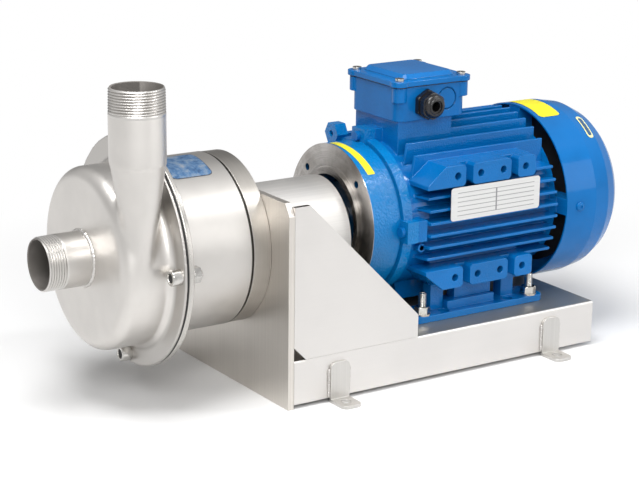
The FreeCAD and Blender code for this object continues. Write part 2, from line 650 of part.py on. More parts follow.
def make_casing_screws():
    """Cap screws through the casing's flange, heads to the front."""
    body = new_body("casing_screws")
    spot = ("-clamp_circle", "0")
    head = circle(across(body, "flange_front - clamp_head"), *spot, "clamp_head_r")
    made = [pad(body, head, "clamp_head")]
    stem = circle(across(body, "flange_front"), *spot, "clamp_r")
    reach = "casing_sheet + gasket + cover_flange + washer + nut_height + screw_overrun"
    made.append(pad(body, stem, reach))
    socket = hexagon(across(body, "flange_front - clamp_head"), *spot, "clamp_socket")
    made.append(pocket(body, socket, "clamp_socket_depth"))
    around(body, made, "clamp_count")


def make_casing_nuts():
    """Nut with its washer behind the rear cover at each cap screw."""
    body = new_body("casing_nuts")
    spot = ("-clamp_circle", "0")
    washer = circle(across(body, "drum_front"), *spot, "washer_r")
    circle(washer, *spot, "clamp_r + fit_gap")
    made = [pad(body, washer, "washer")]
    nut = hexagon(across(body, "drum_front + washer"), *spot, "nut_flats")
    circle(nut, *spot, "clamp_r + fit_gap")
    made.append(pad(body, nut, "nut_height"))
    around(body, made, "clamp_count")


def keyway(body, start, low="coupling_r - key_seat"):
    """Cuts a keyway for the coupling's key in a shaft or a hub."""
    slot = flat(body, low)
    rectangle(slot, start, "-key_width / 2 - fit_gap", f"{start} + key_length",
              "key_width / 2 + fit_gap")
    pocket(body, slot, "key_height + fit_gap")


def make_key(label, start):
    """Makes a coupling key."""
    body = new_body(label)
    shape = flat(body, "coupling_r - key_seat")
    rectangle(shape, start, "-key_width / 2", f"{start} + key_length", "key_width / 2")
    pad(body, shape, "key_height")


def make_pump_shaft():
    """Stepped pump shaft from the impeller's thread to the coupling."""
    body = turned("pump_shaft", [
        ("shaft_start", "0"), ("pump_hub_back - 1", "0"), ("pump_hub_back - 1", "coupling_r"),
        ("nose_back", "coupling_r"), ("nose_back", "bearing_bore_r"),
        ("rear_bearing", "bearing_bore_r"), ("rear_bearing", "shaft_mid_r"),
        ("front_bearing + bearing_width", "shaft_mid_r"),
        ("front_bearing + bearing_width", "bearing_bore_r"),
        ("housing_front", "bearing_bore_r"), ("housing_front", "seal_shaft_r"),
        ("impeller_back", "seal_shaft_r"), ("impeller_back", "impeller_bore_r"),
        ("impeller_nose", "impeller_bore_r"), ("impeller_nose", "nut_thread_r"),
        ("shaft_start", "nut_thread_r")])
    keyway(body, "pump_hub_front + (jaw_hub_length - key_length) / 2")


def make_impeller():
    """Closed impeller: two shrouds, a hub and vanes swept back from the eye."""
    body = turned("impeller", [
        ("impeller_nose", "impeller_bore_r + fit_gap"),
        ("impeller_back", "impeller_bore_r + fit_gap"), ("impeller_back", "impeller_r"),
        ("impeller_back - shroud", "impeller_r"), ("impeller_back - shroud", "hub_r + 4"),
        ("impeller_nose", "hub_r")])
    vane = across(body, "vane_front")
    inner, outer, half = "(hub_r + 2)", "(impeller_r - part_gap)", "(vane_thick / 2)"
    near, far = [], []
    steps = 5
    for i in range(steps + 1):
        share = i / steps
        radius = f"({inner} + ({outer} - {inner}) * {share:.2f})"
        angle = f"(-vane_sweep * {share * (0.6 + 0.4 * share):.4f})"
        near.append((f"{radius} * cos{angle} + {half} * sin{angle}",
                     f"{radius} * sin{angle} - {half} * cos{angle}"))
        far.append((f"{radius} * cos{angle} - {half} * sin{angle}",
                    f"{radius} * sin{angle} + {half} * cos{angle}"))
    outline(vane, near + far[::-1])
    around(body, [pad(body, vane, "vane_width")], "vane_count")
    front = along(body)
    rectangle(front, "vane_front - shroud", "eye_r", "vane_front", "impeller_r")
    turn(body, front)


def make_seal():
    """Mechanical seal: fixed seat, turning face ring and folded bellows."""
    ring("seal_seat", "seat_front", "seat_front + seat_width", "seat_bore_r", "seat_r")
    ring("seal_face", "seal_front", "seat_front - seal_gap", "seal_shaft_r + fit_gap", "face_ring_r")
    corners = [("impeller_back", "seal_shaft_r + fit_gap"), ("seal_front", "seal_shaft_r + fit_gap")]
    folds = 6
    for i in range(folds, -1, -1):
        station = f"impeller_back + (seal_front - impeller_back) * {i} / {folds}"
        corners.append((station, "bellows_r" if i % 2 else "bellows_r - bellows_fold"))
    turned("seal_bellows", corners)


def make_bearings(name, first, second, shaft_r):
    """Two ball bearings: outer rings, inner rings and ball cages, each pair as one piece."""
    inner_r, outer_r = f"({shaft_r} + race_wall)", "(bearing_r - race_wall)"
    inset = "(bearing_width - cage_width) / 2"
    for part, start, end, low, high in (
            ("outers", "0", "bearing_width", outer_r, "bearing_r"),
            ("inners", "0", "bearing_width", f"{shaft_r} + fit_gap", inner_r),
            ("cages", inset, f"bearing_width - {inset}", f"{inner_r} + fit_gap",
             f"{outer_r} - fit_gap")):
        body = new_body(f"{name}_bearing_{part}")
        for station in (first, second):
            section = along(body)
            rectangle(section, f"{station} + {start}", low, f"{station} + {end}", high)
            turn(body, section)


def make_lip_seals():
    """Lip seal rings that close both ends of the bearing housing."""
    body = new_body("lip_seals")
    for start in ("housing_front", "nose_back - lip_width"):
        section = along(body)
        rectangle(section, start, "bearing_bore_r + fit_gap", f"{start} + lip_width", "bearing_r")
        turn(body, section)


def make_hub(label, start, jaw_start):
    """Coupling hub with three jaws and a keyway."""
    end = f"{start} + jaw_hub_length"
    body = ring(label, start, end, "coupling_r + fit_gap", "jaw_hub_r")
    section = along(body)
    rectangle(section, jaw_start, "jaw_inner_r", f"{jaw_start} + jaw_length", "jaw_hub_r")
    around(body, [turn(body, section, "jaw_angle", centred=True)], "jaw_count")
    return body


def make_hub_pair():
    """Both coupling hubs, the motor's turned half round so that the jaws interleave."""
    inset = "(jaw_hub_length - key_length) / 2"
    keyway(make_hub("pump_hub", "pump_hub_front", "pump_hub_back"), f"pump_hub_front + {inset}")
    hub = make_hub("motor_hub", "motor_shaft_end", "motor_shaft_end - jaw_length")
    keyway(hub, f"motor_shaft_end + {inset}", "key_seat - coupling_r - key_height - fit_gap")
    turn_body(hub, 180)


def turn_body(body, angle):
    """Turns a sub-part about the shaft's line."""
    turned_by = FreeCAD.Rotation(FreeCAD.Vector(1, 0, 0), angle)
    body.Placement = FreeCAD.Placement(body.Placement.Base, turned_by)


def make_spider():
    """Elastic spider with a lobe between each pair of jaws."""
    middle = "(motor_shaft_end - jaw_gap / 2)"
    start, end = f"{middle} - spider_width / 2", f"{middle} + spider_width / 2"
    body = ring("coupling_spider", start, end, "spider_bore_r", "spider_ring_r")
    section = along(body)
    rectangle(section, start, "spider_ring_r - 1", end, "jaw_hub_r - 1")
    around(body, [turn(body, section, "spider_angle", centred=True)], "2 * jaw_count")
    turn_body(body, 30)


def ear_block(sketch):
    """Draws the block round one tie screw."""
    return rectangle(sketch, "-ear_circle - ear_out", "-ear_half", "-ear_circle + ear_in",
                     "ear_half")


def make_front_shield():
    """Front end shield: machined face with spigot and recess, groove, rim, ears and lifting lug."""
    body = turned("front_shield", [
        ("face_x + recess_depth", "coupling_r + part_gap"),
        ("shaft_seat_front", "coupling_r + part_gap"), ("shaft_seat_front", "bearing_r + fit_gap"),
        ("frame_front - motor_seat", "bearing_r + fit_gap"),
        ("frame_front - motor_seat", "motor_boss_r"),
        ("face_x + recess_depth + shield_wall", "motor_boss_r + 4"),
        ("face_x + recess_depth + shield_wall", "face_r - 2 * shield_wall"),
        ("frame_front", "face_r - shield_wall"), ("frame_front", "rim_r"),
        ("frame_front - rim_length", "rim_r"), ("frame_front - rim_length", "face_r - groove_depth"),
        ("face_x + shield_length", "face_r - groove_depth"), ("face_x + shield_length", "face_r"),
        ("face_x", "face_r"), ("face_x", "spigot_r"), ("face_x - spigot_length", "spigot_r"),
        ("face_x - spigot_length", "spigot_r - spigot_wall"),
        ("face_x + recess_depth", "recess_floor_r")])
    hole = circle(across(body, "face_x - 1"), "face_circle * cos(45)", "face_circle * sin(45)",
                  "face_hole_r")
    around(body, [pocket(body, hole, "face_hole_depth + 1")], "4")
    lug = pad(body, ear_block(across(body, "frame_front - ear_length")), "ear_length")
    bore = circle(across(body, "frame_front - ear_length - 1"), "-ear_circle", "0",
                  "tie_screw_r + fit_gap")
    around(body, [lug, pocket(body, bore, "ear_length + 2")], "ear_count")
    lifting = across(body, "frame_front - lifting_back")
    spot = ("lifting_circle * cos(lifting_angle)", "lifting_circle * sin(lifting_angle)")
    hexagon(lifting, *spot, "lifting_flats")
    pad(body, lifting, "lifting_width")
    eye = circle(across(body, "frame_front - lifting_back - 1"), *spot, "lifting_hole_r")
    pocket(body, eye, "lifting_width + 2")


def make_tie_screws():
    """Screws that hold the front shield to the motor frame."""
    body = new_body("tie_screws")
    head = across(body, "frame_front - ear_length - tie_head")
    made = [pad(body, circle(head, "-ear_circle", "0", "tie_head_r"), "tie_head")]
    stem = across(body, "frame_front - ear_length")
    made.append(pad(body, circle(stem, "-ear_circle", "0", "tie_screw_r"),
                    "ear_length + tie_screw_in"))
    around(body, made, "ear_count")


def fin_rows(body):
    """Cooling fins: level ones on the sides, upright ones above and below."""
    start = "frame_front + fin_start"
    root = "(stator_r + frame_wall / 2)"
    sides = across(body, start)
    for sign in ("", "-"):
        for i in range(int(number("side_fins"))):
            z = f"(fin_pitch * ({i} - (side_fins - 1) / 2))"
            rectangle(sides, f"{sign}sqrt({root}^2 - {z}^2)", f"{z} - fin_thick / 2",
                      f"{sign}sqrt(fin_r^2 - {z}^2)", f"{z} + fin_thick / 2")
    pad(body, sides, "fin_length")
    posts = across(body, start)
    for count, sign in (("top_fins", ""), ("belly_fins", "-")):
        for i in range(int(number(count))):
            y = f"(top_pitch * ({i} - ({count} - 1) / 2))"
            rectangle(posts, f"{y} - fin_thick / 2", f"{sign}sqrt({root}^2 - {y}^2)",
                      f"{y} + fin_thick / 2", f"{sign}sqrt(fin_r^2 - {y}^2)")
    pad(body, posts, "fin_length")
    slant = along(body)
    outline(slant, [(f"{start} - 1", "frame_r + 1"), (f"{start} + fin_slant / 4", "frame_r + 1"),
                    (f"{start} + fin_slant", "fin_r + 3"), (f"{start} - 1", "fin_r + 3")])
    groove(body, slant)


def foot_pads(body):
    """Pads on both sides of the frame, upper and lower: three lugs on a bar, with threaded holes."""
    start, end = "(frame_front + pad_start)", "(frame_front + pad_start + pad_length)"
    made = []
    for side in ("", "-"):
        low, high = (f"{side}(pad_offset {sign} pad_height / 2)" for sign in "-+")
        low_corner = f"{side}(pad_offset - pad_height / 2 + pad_corner)"
        high_corner = f"{side}(pad_offset + pad_height / 2 - pad_corner)"
        nose_edge = f"{side}(pad_offset - pad_height / 2 + pad_nose_edge)"
        bar = along(body, "pad_inner")
        rectangle(bar, start, low, end, high)
        made.append(pad(body, bar, "pad_out - pad_slot_depth - pad_inner"))
        first = "(first_hole + hole_pitch / 2 - pad_slot / 2)"
        nose = along(body, "pad_inner")
        outline(nose, [(f"{start} - pad_nose", low), (f"{first} - pad_corner", low),
                       (first, low_corner), (first, high_corner), (f"{first} - pad_corner", high),
                       (start, high), (f"{start} - pad_nose", nose_edge)])
        made.append(pad(body, nose, "pad_out - pad_inner"))
        lugs = along(body, "pad_out - pad_slot_depth - 1")
        second = f"({first} + pad_slot)"
        third = f"({first} + 2 * hole_pitch)"
        for left, right in ((second, third), (f"({third} + pad_slot)", end)):
            outline(lugs, [(f"{left} + pad_corner", low), (f"{right} - pad_corner", low),
                           (right, low_corner), (right, high_corner),
                           (f"{right} - pad_corner", high), (f"{left} + pad_corner", high),
                           (left, high_corner), (left, low_corner)])
        made.append(pad(body, lugs, "pad_slot_depth + 1"))
        holes = along(body, "pad_out - pad_hole_depth")
        for i in range(4):
            circle(holes, f"first_hole + {i} * hole_pitch", f"{side}pad_offset", "pad_hole_r")
        made.append(pocket(body, holes, "pad_hole_depth + 1"))
    mirror(body, made)


def make_frame():
    """Finned motor frame with pads, bosses over the feet and a neck under the terminal box."""
    body = ring("motor_frame", "frame_front", "frame_back", "stator_r - 1", "frame_r")
    fin_rows(body)
    foot_pads(body)
    low = "(foot_sole + foot_web_top - motor_centre)"
    bosses = flat(body, low)
    for sign in ("", "-"):
        rectangle(bosses, "foot_front + boss_inset", f"{sign}boss_inner",
                  "foot_front + foot_length - boss_inset", f"{sign}boss_outer")
    pad(body, bosses, f"-boss_top - {low}")
    neck = flat(body, "stator_r * 0.8")
    rectangle(neck, "face_x + neck_start", "-neck_half", "face_x + neck_start + neck_length",
              "neck_half")
    pad(body, neck, "neck_top - stator_r * 0.8")
    ear = pad(body, ear_block(across(body, "frame_front")), "fin_start + fin_slant / 2")
    around(body, [ear], "ear_count")
    earth = ("frame_front + earth_in", "-earth_drop")
    pad(body, circle(along(body, "frame_r - 4"), *earth, "earth_r"), "earth_out + 4")
    thread = circle(along(body, "frame_r + earth_out - earth_hole"), *earth, "earth_hole_r")
    pocket(body, thread, "earth_hole + 1")
    bore = circle(across(body, "frame_front - 1"), "0", "0", "stator_r")
    pocket(body, bore, "frame_length + 2")
    hollow = flat(body, "stator_r * 0.7")
    rectangle(hollow, "face_x + neck_start + neck_wall", "-neck_half + neck_wall",
              "face_x + neck_start + neck_length - neck_wall", "neck_half - neck_wall")
    pocket(body, hollow, "neck_top")
    ties = circle(across(body, "frame_front - 1"), "-ear_circle", "0", "tie_screw_r + fit_gap")
    around(body, [pocket(body, ties, "tie_screw_in + 2")], "ear_count")
    threads = flat(body, low + " - 1")
    for x in foot_bolt_stations():
        for sign in ("", "-"):
            circle(threads, x, f"{sign}(boss_inner + boss_outer) / 2", "foot_bolt_r + fit_gap")
    pocket(body, threads, "foot_bolt_in + 2")


def foot_bolt_stations():
    """Gives the stations of the bolts between the feet and the frame."""
    return ("foot_front + foot_bolt_inset", "foot_front + foot_length - foot_bolt_inset")


def make_foot(label, sign):
    """Motor foot: sole with holes for the studs and an upright web under the frame."""
    body = new_body(label, on_shaft=False)
    sole = flat(body, "base_height")
    rectangle(sole, "foot_front", f"{sign}foot_inner", "foot_front + foot_length",
              f"{sign}foot_outer")
    pad(body, sole, "foot_sole")
    dress(body, "Fillet", "foot_corner", upright_edge)
    web = flat(body, "foot_top")
    rectangle(web, "foot_front + foot_web_inset", f"{sign}boss_inner",
              "foot_front + foot_length - foot_web_inset", f"{sign}boss_outer")
    for x in foot_bolt_stations():
        rectangle(web, f"{x} - foot_bolt_boss", f"{sign}boss_inner", f"{x} + foot_bolt_boss",
                  f"{sign}boss_outer")
    pad(body, web, "foot_web_top")
    ridge = flat(body, "foot_top")
    rectangle(ridge, "foot_front + ridge_start", f"{sign}boss_inner",
              "foot_front + ridge_start + ridge_length", f"{sign}ridge_outer")
    pad(body, ridge, "ridge_height")
    holes = flat(body, "base_height - 1")
    for x in ("stud_front", "stud_front + foot_hole_pitch", "stud_front + foot_pitch",
              "stud_front + foot_pitch - foot_hole_pitch"):
        circle(holes, x, f"{sign}foot_gauge / 2", "foot_hole_r")
    pocket(body, holes, "foot_sole + 2")
    middle = f"{sign}(boss_inner + boss_outer) / 2"
    bores = flat(body, "base_height - 1")
    for x in foot_bolt_stations():
        circle(bores, x, middle, "foot_bolt_r + part_gap")
    pocket(body, bores, "foot_sole + foot_web_top + 2")
    heads = flat(body, "base_height - 1")
    for x in foot_bolt_stations():
        circle(heads, x, middle, "foot_bolt_head_r + part_gap")
    pocket(body, heads, "foot_bolt_head + 2")


def make_foot_bolts():
    """Bolts from below each foot into the motor frame."""
    body = new_body("foot_bolts", on_shaft=False)
    heads = flat(body, "base_height + 1")
    stems = flat(body, "base_height + 1 + foot_bolt_head")
    for x in foot_bolt_stations():
        for sign in ("", "-"):
            circle(stems, x, f"{sign}(boss_inner + boss_outer) / 2", "foot_bolt_r")
            circle(heads, x, f"{sign}(boss_inner + boss_outer) / 2", "foot_bolt_head_r")
    pad(body, heads, "foot_bolt_head")
    pad(body, stems, "foot_sole + foot_web_top - foot_bolt_head - 1 + foot_bolt_in")


def on_studs(body, sketch, length, draw):
    """Adds one like piece at each of the four studs."""
    for x in ("stud_front", "stud_front + foot_pitch"):
        for sign in ("", "-"):
            draw(sketch, x, f"{sign}foot_gauge / 2")
    pad(body, sketch, length)


def stud_group(label, start, length, draw):
    """Makes a sub-part with one like piece at each of the four studs."""
    body = new_body(label, on_shaft=False)
    on_studs(body, flat(body, start), length, draw)
    return body


def make_studs():
    """Studs through the feet, nuts with washers on them and weld nuts under the channel."""
    def washer(sketch, x, y):
        circle(sketch, x, y, "washer_r")
        circle(sketch, x, y, "stud_r + fit_gap")

    def nut(sketch, x, y):
        hexagon(sketch, x, y, "nut_flats")
        circle(sketch, x, y, "stud_r + fit_gap")

    reach = "stud_below + foot_sole + stud_top"
    stud_group("foot_studs", "base_height - stud_below", reach,
               lambda sketch, x, y: circle(sketch, x, y, "stud_r"))
    nuts = stud_group("foot_nuts", "foot_top", "washer", washer)
    on_studs(nuts, flat(nuts, "foot_top + washer"), "nut_height", nut)
    stud_group("weld_nuts", "base_height - base_sheet - weld_nut", "weld_nut", nut)


def make_windings():
    """Winding heads at both ends of the stator."""
    body = new_body("stator_winding")
    for start in ("stator_front - winding_over", "stator_front + stator_length"):
        section = along(body)
        outer = "stator_r - winding_clear"
        rectangle(section, start, f"{outer} - winding_wall", f"{start} + winding_over", outer)
        turn(body, section)


def make_motor_shaft():
    """Stepped motor shaft from the coupling to the fan."""
    body = turned("motor_shaft", [
        ("motor_shaft_end", "0"), ("fan_front + fan_width", "0"),
        ("fan_front + fan_width", "fan_seat_r"), ("shaft_seat_back + bearing_width", "fan_seat_r"),
        ("shaft_seat_back + bearing_width", "bearing_bore_r"),
        ("shaft_seat_back", "bearing_bore_r"), ("shaft_seat_back", "motor_mid_r"),
        ("shaft_seat_front + bearing_width", "motor_mid_r"),
        ("shaft_seat_front + bearing_width", "bearing_bore_r"),
        ("shaft_seat_front", "bearing_bore_r"), ("shaft_seat_front", "motor_shaft_r"),
        ("motor_shaft_end", "motor_shaft_r")])
    keyway(body, "motor_shaft_end + (jaw_hub_length - key_length) / 2")


def make_rear_shield():
    """Rear end shield with the bearing seat and ears that carry the cowl."""
    body = turned("rear_shield", [
        ("shaft_seat_back", "bearing_r + fit_gap"),
        ("shaft_seat_back + bearing_width", "bearing_r + fit_gap"),
        ("shaft_seat_back + bearing_width", "coupling_r + part_gap"),
        ("frame_back + rear_shield_length", "coupling_r + part_gap"),
        ("frame_back + rear_shield_length", "motor_boss_r"),
        ("frame_back + rear_plate", "motor_boss_r + 3"), ("frame_back + rear_plate", "frame_r"),
        ("frame_back", "frame_r"), ("frame_back", "motor_boss_r"),
        ("shaft_seat_back", "motor_boss_r")])
    low = "cowl_r - cowl_sheet - fit_gap - rear_ear_height"
    ear = flat(body, low)
    rectangle(ear, "cowl_front + cowl_clear", "-rear_ear_width / 2", "frame_back + rear_ear_back",
              "rear_ear_width / 2")
    made = [pad(body, ear, "rear_ear_height")]
    web = flat(body, low)
    rectangle(web, "frame_back", "-rear_ear_width / 2", "cowl_front + cowl_clear",
              "rear_ear_width / 2")
    made.append(pad(body, web, f"frame_r - ({low})"))
    bore = circle(flat(body, "cowl_r - cowl_screw_length"), "cowl_front + cowl_screw_in", "0",
                  "cowl_screw_r + fit_gap")
    made.append(pocket(body, bore, "cowl_screw_length"))
    around(body, made, "cowl_screw_count")
    trim = along(body)
    rectangle(trim, "cowl_front", "cowl_r - cowl_sheet - fit_gap",
              "frame_back + rear_ear_back + 1", "cowl_r + cowl_sheet")
    groove(body, trim)


def make_cowl():
    """Sheet fan cowl, straight then drawn in to a rear face with a grille of ring slots."""
    body = turned("fan_cowl", [
        ("cowl_front", "cowl_r - cowl_sheet"),
        ("cowl_front + cowl_straight", "cowl_r - cowl_sheet"),
        ("cowl_front + cowl_shoulder", "cowl_shoulder_r - cowl_sheet"),
        ("cowl_front + cowl_drawn - cowl_sheet / 2", "cowl_drawn_r - cowl_sheet"),
        ("cowl_front + cowl_end - cowl_sheet", "cowl_end_r - cowl_sheet / 2"),
        ("cowl_back - cowl_sheet", "cowl_flat_r"), ("cowl_back - cowl_sheet", "0"),
        ("cowl_back", "0"), ("cowl_back", "cowl_flat_r"),
        ("cowl_front + cowl_end", "cowl_end_r"), ("cowl_front + cowl_drawn", "cowl_drawn_r"),
        ("cowl_front + cowl_shoulder", "cowl_shoulder_r"),
        ("cowl_front + cowl_straight", "cowl_r"), ("cowl_front", "cowl_r")])
    section = along(body)
    for i in range(int(number("grille_rings"))):
        low = f"grille_hub_r + {i} * grille_pitch"
        rectangle(section, "cowl_back - 2 * cowl_sheet", low, "cowl_back + 1",
                  f"{low} + grille_slot")
    groove(body, section)
    reach = "(cowl_flat_r - cowl_sheet)"
    for ends in ((f"-{reach}", "-grille_spoke / 2", reach, "grille_spoke / 2"),
                 ("-grille_spoke / 2", f"-{reach}", "grille_spoke / 2", reach)):
        pad(body, rectangle(across(body, "cowl_back - cowl_sheet"), *ends), "cowl_sheet")
    hole = circle(flat(body, "cowl_r - 3 * cowl_sheet"), "cowl_front + cowl_screw_in", "0",
                  "cowl_screw_r + part_gap")
    around(body, [pocket(body, hole, "6 * cowl_sheet")], "cowl_screw_count")


def make_cowl_screws():
    """Screws from outside the cowl into the rear shield's ears."""
    body = new_body("cowl_screws")
    x = "cowl_front + cowl_screw_in"
    made = [pad(body, circle(flat(body, "cowl_r"), x, "0", "cowl_head_r"), "cowl_head")]
    made.append(pad(body, circle(flat(body, "cowl_r - cowl_screw_length"), x, "0",
                                 "cowl_screw_r"), "cowl_screw_length"))
    around(body, made, "cowl_screw_count")


def make_fan():
    """Radial fan: hub, disc and straight blades."""
    body = turned("motor_fan", [
        ("fan_front", "fan_seat_r + fit_gap"), ("fan_front + fan_width", "fan_seat_r + fit_gap"),
        ("fan_front + fan_width", "fan_hub_r"), ("fan_front + fan_disc", "fan_hub_r"),
        ("fan_front + fan_disc", "fan_r"), ("fan_front", "fan_r")])
    blade = flat(body, "fan_hub_r - 2")
    rectangle(blade, "fan_front", "-fan_blade / 2", "fan_front + fan_width", "fan_blade / 2")
    around(body, [pad(body, blade, "fan_r - fan_hub_r + 2")], "fan_blades")


def box_corners():
    """Gives the four places of the lid's screws."""
    low, high = "(box_front + lid_screw_inset)", "(box_front + box_length - lid_screw_inset)"
    side = "(box_half - lid_screw_inset)"
    return [(x, f"{sign}{side}") for x in (low, high) for sign in ("", "-")]


def box_ears(body, start, radius, length):
    """Adds round ears about the lid's screws."""
    ears = flat(body, start)
    for x, y in box_corners():
        circle(ears, x, y, radius)
    pad(body, ears, length)


def make_terminal_box():
    """Terminal box on the frame's neck, with bosses for the lid's screws."""
    body = new_body("terminal_box", on_shaft=False)
    shell = flat(body, "box_floor")
    rectangle(shell, "box_front", "-box_half", "box_front + box_length", "box_half")
    pad(body, shell, "box_height")
    dress(body, "Fillet", "box_round", upright_edge)
    hollow = flat(body, "box_floor + box_wall")
    rectangle(hollow, "box_front + box_wall", "-box_half + box_wall",
              "box_front + box_length - box_wall", "box_half - box_wall")
    pocket(body, hollow, "box_height")
    box_ears(body, "box_top - lid_ear_height", "lid_ear_r", "lid_ear_height")
    threads = flat(body, "lid_top - lid_screw_in")
    for x, y in box_corners():
        circle(threads, x, y, "lid_screw_r + fit_gap")
    pocket(body, threads, "lid_screw_in")
    passage = flat(body, "box_floor - 1")
    rectangle(passage, "face_x + neck_start + neck_wall", "-neck_half + neck_wall + block_width",
              "face_x + neck_start + neck_length - neck_wall", "neck_half - neck_wall")
    pocket(body, passage, "box_wall + 2")
    entry = circle(along(body, "box_half - 2 * box_wall"), "box_front + gland_in",
                   "box_top - gland_drop", "gland_neck_r + fit_gap")
    pocket(body, entry, "3 * box_wall")
    mark = along(body, "box_half - knockout_depth")
    for radius in ("knockout_r", "knockout_r - knockout_width"):
        circle(mark, "box_front + knockout_in", "box_top - knockout_drop", radius)
    pocket(body, mark, "2 * knockout_depth")


def make_lid():
    """Lid with a flange over the box and a chamfered raised top."""
    body = new_body("terminal_lid", on_shaft=False)
    plate = flat(body, "lid_floor")
    rectangle(plate, "box_front - lid_over", "-box_half - lid_over",
              "box_front + box_length + lid_over", "box_half + lid_over")
    pad(body, plate, "lid_sheet")
    dress(body, "Fillet", "box_round", upright_edge)
    box_ears(body, "lid_floor", "lid_ear_r + lid_ear_over", "lid_sheet")
    top = flat(body, "lid_top")
    rectangle(top, "box_front + lid_inset", "-box_half + lid_side",
              "box_front + box_length - lid_inset", "box_half - lid_side")
    pad(body, top, "lid_rise")
    low, high = number("lid_top"), number("lid_top") + number("lid_rise")
    dress(body, "Fillet", "lid_round",
          lambda edge: upright_edge(edge) and edge.BoundBox.ZMin > low - 0.1)
    dress(body, "Chamfer", "lid_chamfer", lambda edge: abs(edge.BoundBox.ZMin - high) < 0.1)
    lid_holes(body, "lid_floor - 1")


def make_box_gasket():
    """Gasket between the terminal box and its lid."""
    body = new_body("box_gasket", on_shaft=False)
    plate = flat(body, "box_top")
    rectangle(plate, "box_front", "-box_half", "box_front + box_length", "box_half")
    pad(body, plate, "box_gasket")
    dress(body, "Fillet", "box_round", upright_edge)
    box_ears(body, "box_top", "lid_ear_r", "box_gasket")
    window = flat(body, "box_top - 1")
    rectangle(window, "box_front + 2 * lid_ear_r", "-box_half + 2 * lid_ear_r",
              "box_front + box_length - 2 * lid_ear_r", "box_half - 2 * lid_ear_r")
    pocket(body, window, "box_gasket + 2")
    lid_holes(body, "box_top - 1")


def lid_holes(body, start):
    """Cuts the holes for the lid's screws."""
    holes = flat(body, start)
    for x, y in box_corners():
        circle(holes, x, y, "lid_screw_r + part_gap")
    pocket(body, holes, "lid_sheet + lid_rise + 3")


def make_lid_screws():
    """Four screws in the corners of the lid."""
    body = new_body("lid_screws", on_shaft=False)
    stems = flat(body, "lid_top - lid_screw_in")
    heads = flat(body, "lid_top")
    for x, y in box_corners():
        circle(stems, x, y, "lid_screw_r")
        circle(heads, x, y, "lid_head_r")
    pad(body, stems, "lid_screw_in")
    pad(body, heads, "lid_head")


def make_terminal_block():
    """Terminal block with six studs on the floor of the box."""
    body = new_body("terminal_block", on_shaft=False)
    middle, side = "(box_front + box_length / 2)", "(-neck_half + neck_wall)"
    base = flat(body, "box_floor + box_wall")
    rectangle(base, f"{middle} - block_length / 2", side, f"{middle} + block_length / 2",
              f"{side} + block_width")
    pad(body, base, "block_height")
    studs = flat(body, "box_floor + box_wall + block_height")
    for i in (-1, 0, 1):
        for share in ("0.25", "0.75"):
            circle(studs, f"{middle} + {i} * block_pitch", f"{side} + {share} * block_width",
                   "block_stud_r")
    pad(body, studs, "block_stud")


def make_gland():
    """Cable gland on the near side of the terminal box: hexagon body and domed nut."""
    spot = ("box_front + gland_in", "box_top - gland_drop")
    body = new_body("cable_gland", on_shaft=False)
    grip = hexagon(along(body, "box_half"), *spot, "gland_flats")
    circle(grip, *spot, "gland_hole_r")
    pad(body, grip, "gland_hex")
    neck = circle(along(body, "box_half - 2 * box_wall"), *spot, "gland_neck_r")
    circle(neck, *spot, "gland_hole_r")
    pad(body, neck, "2 * box_wall")
    nut = new_body("gland_nut", on_shaft=False)
    grip = hexagon(along(nut, "box_half + gland_hex"), *spot, "gland_nut_flats")
    circle(grip, *spot, "gland_hole_r")
    pad(nut, grip, "gland_nut")
    dome_r = "gland_nut_flats / 2 - part_gap"
    dome = circle(along(nut, "box_half + gland_hex + gland_nut"), *spot, dome_r)
    circle(dome, *spot, "gland_crown_r")
    pad(nut, dome, "gland_dome")
    end = number("box_half") + number("gland_hex") + number("gland_nut") + number("gland_dome")
    radius = number("gland_nut_flats") / 2 - number("part_gap")

    def tip(edge):
        curve = edge.Curve
        return (isinstance(curve, Part.Circle) and abs(curve.Radius - radius) < 0.01
                and abs(edge.BoundBox.YMin + end) < 0.01)

    dress(nut, "Chamfer", "gland_dome / 2.5", tip)


def make_rating_plate():
    """Blank rating plate on the near side of the frame, on the fins' edges."""
    body = new_body("rating_plate")
    profile = along(body, "fin_r")
    rectangle(profile, "face_x + rating_start", "rating_low",
              "face_x + rating_start + rating_length", "rating_low + rating_height")
    pad(body, profile, "rating_sheet")
    dress(body, "Fillet", "rating_corner",
          lambda edge: edge.BoundBox.YLength > 0.1 and edge.BoundBox.XLength < 0.1)


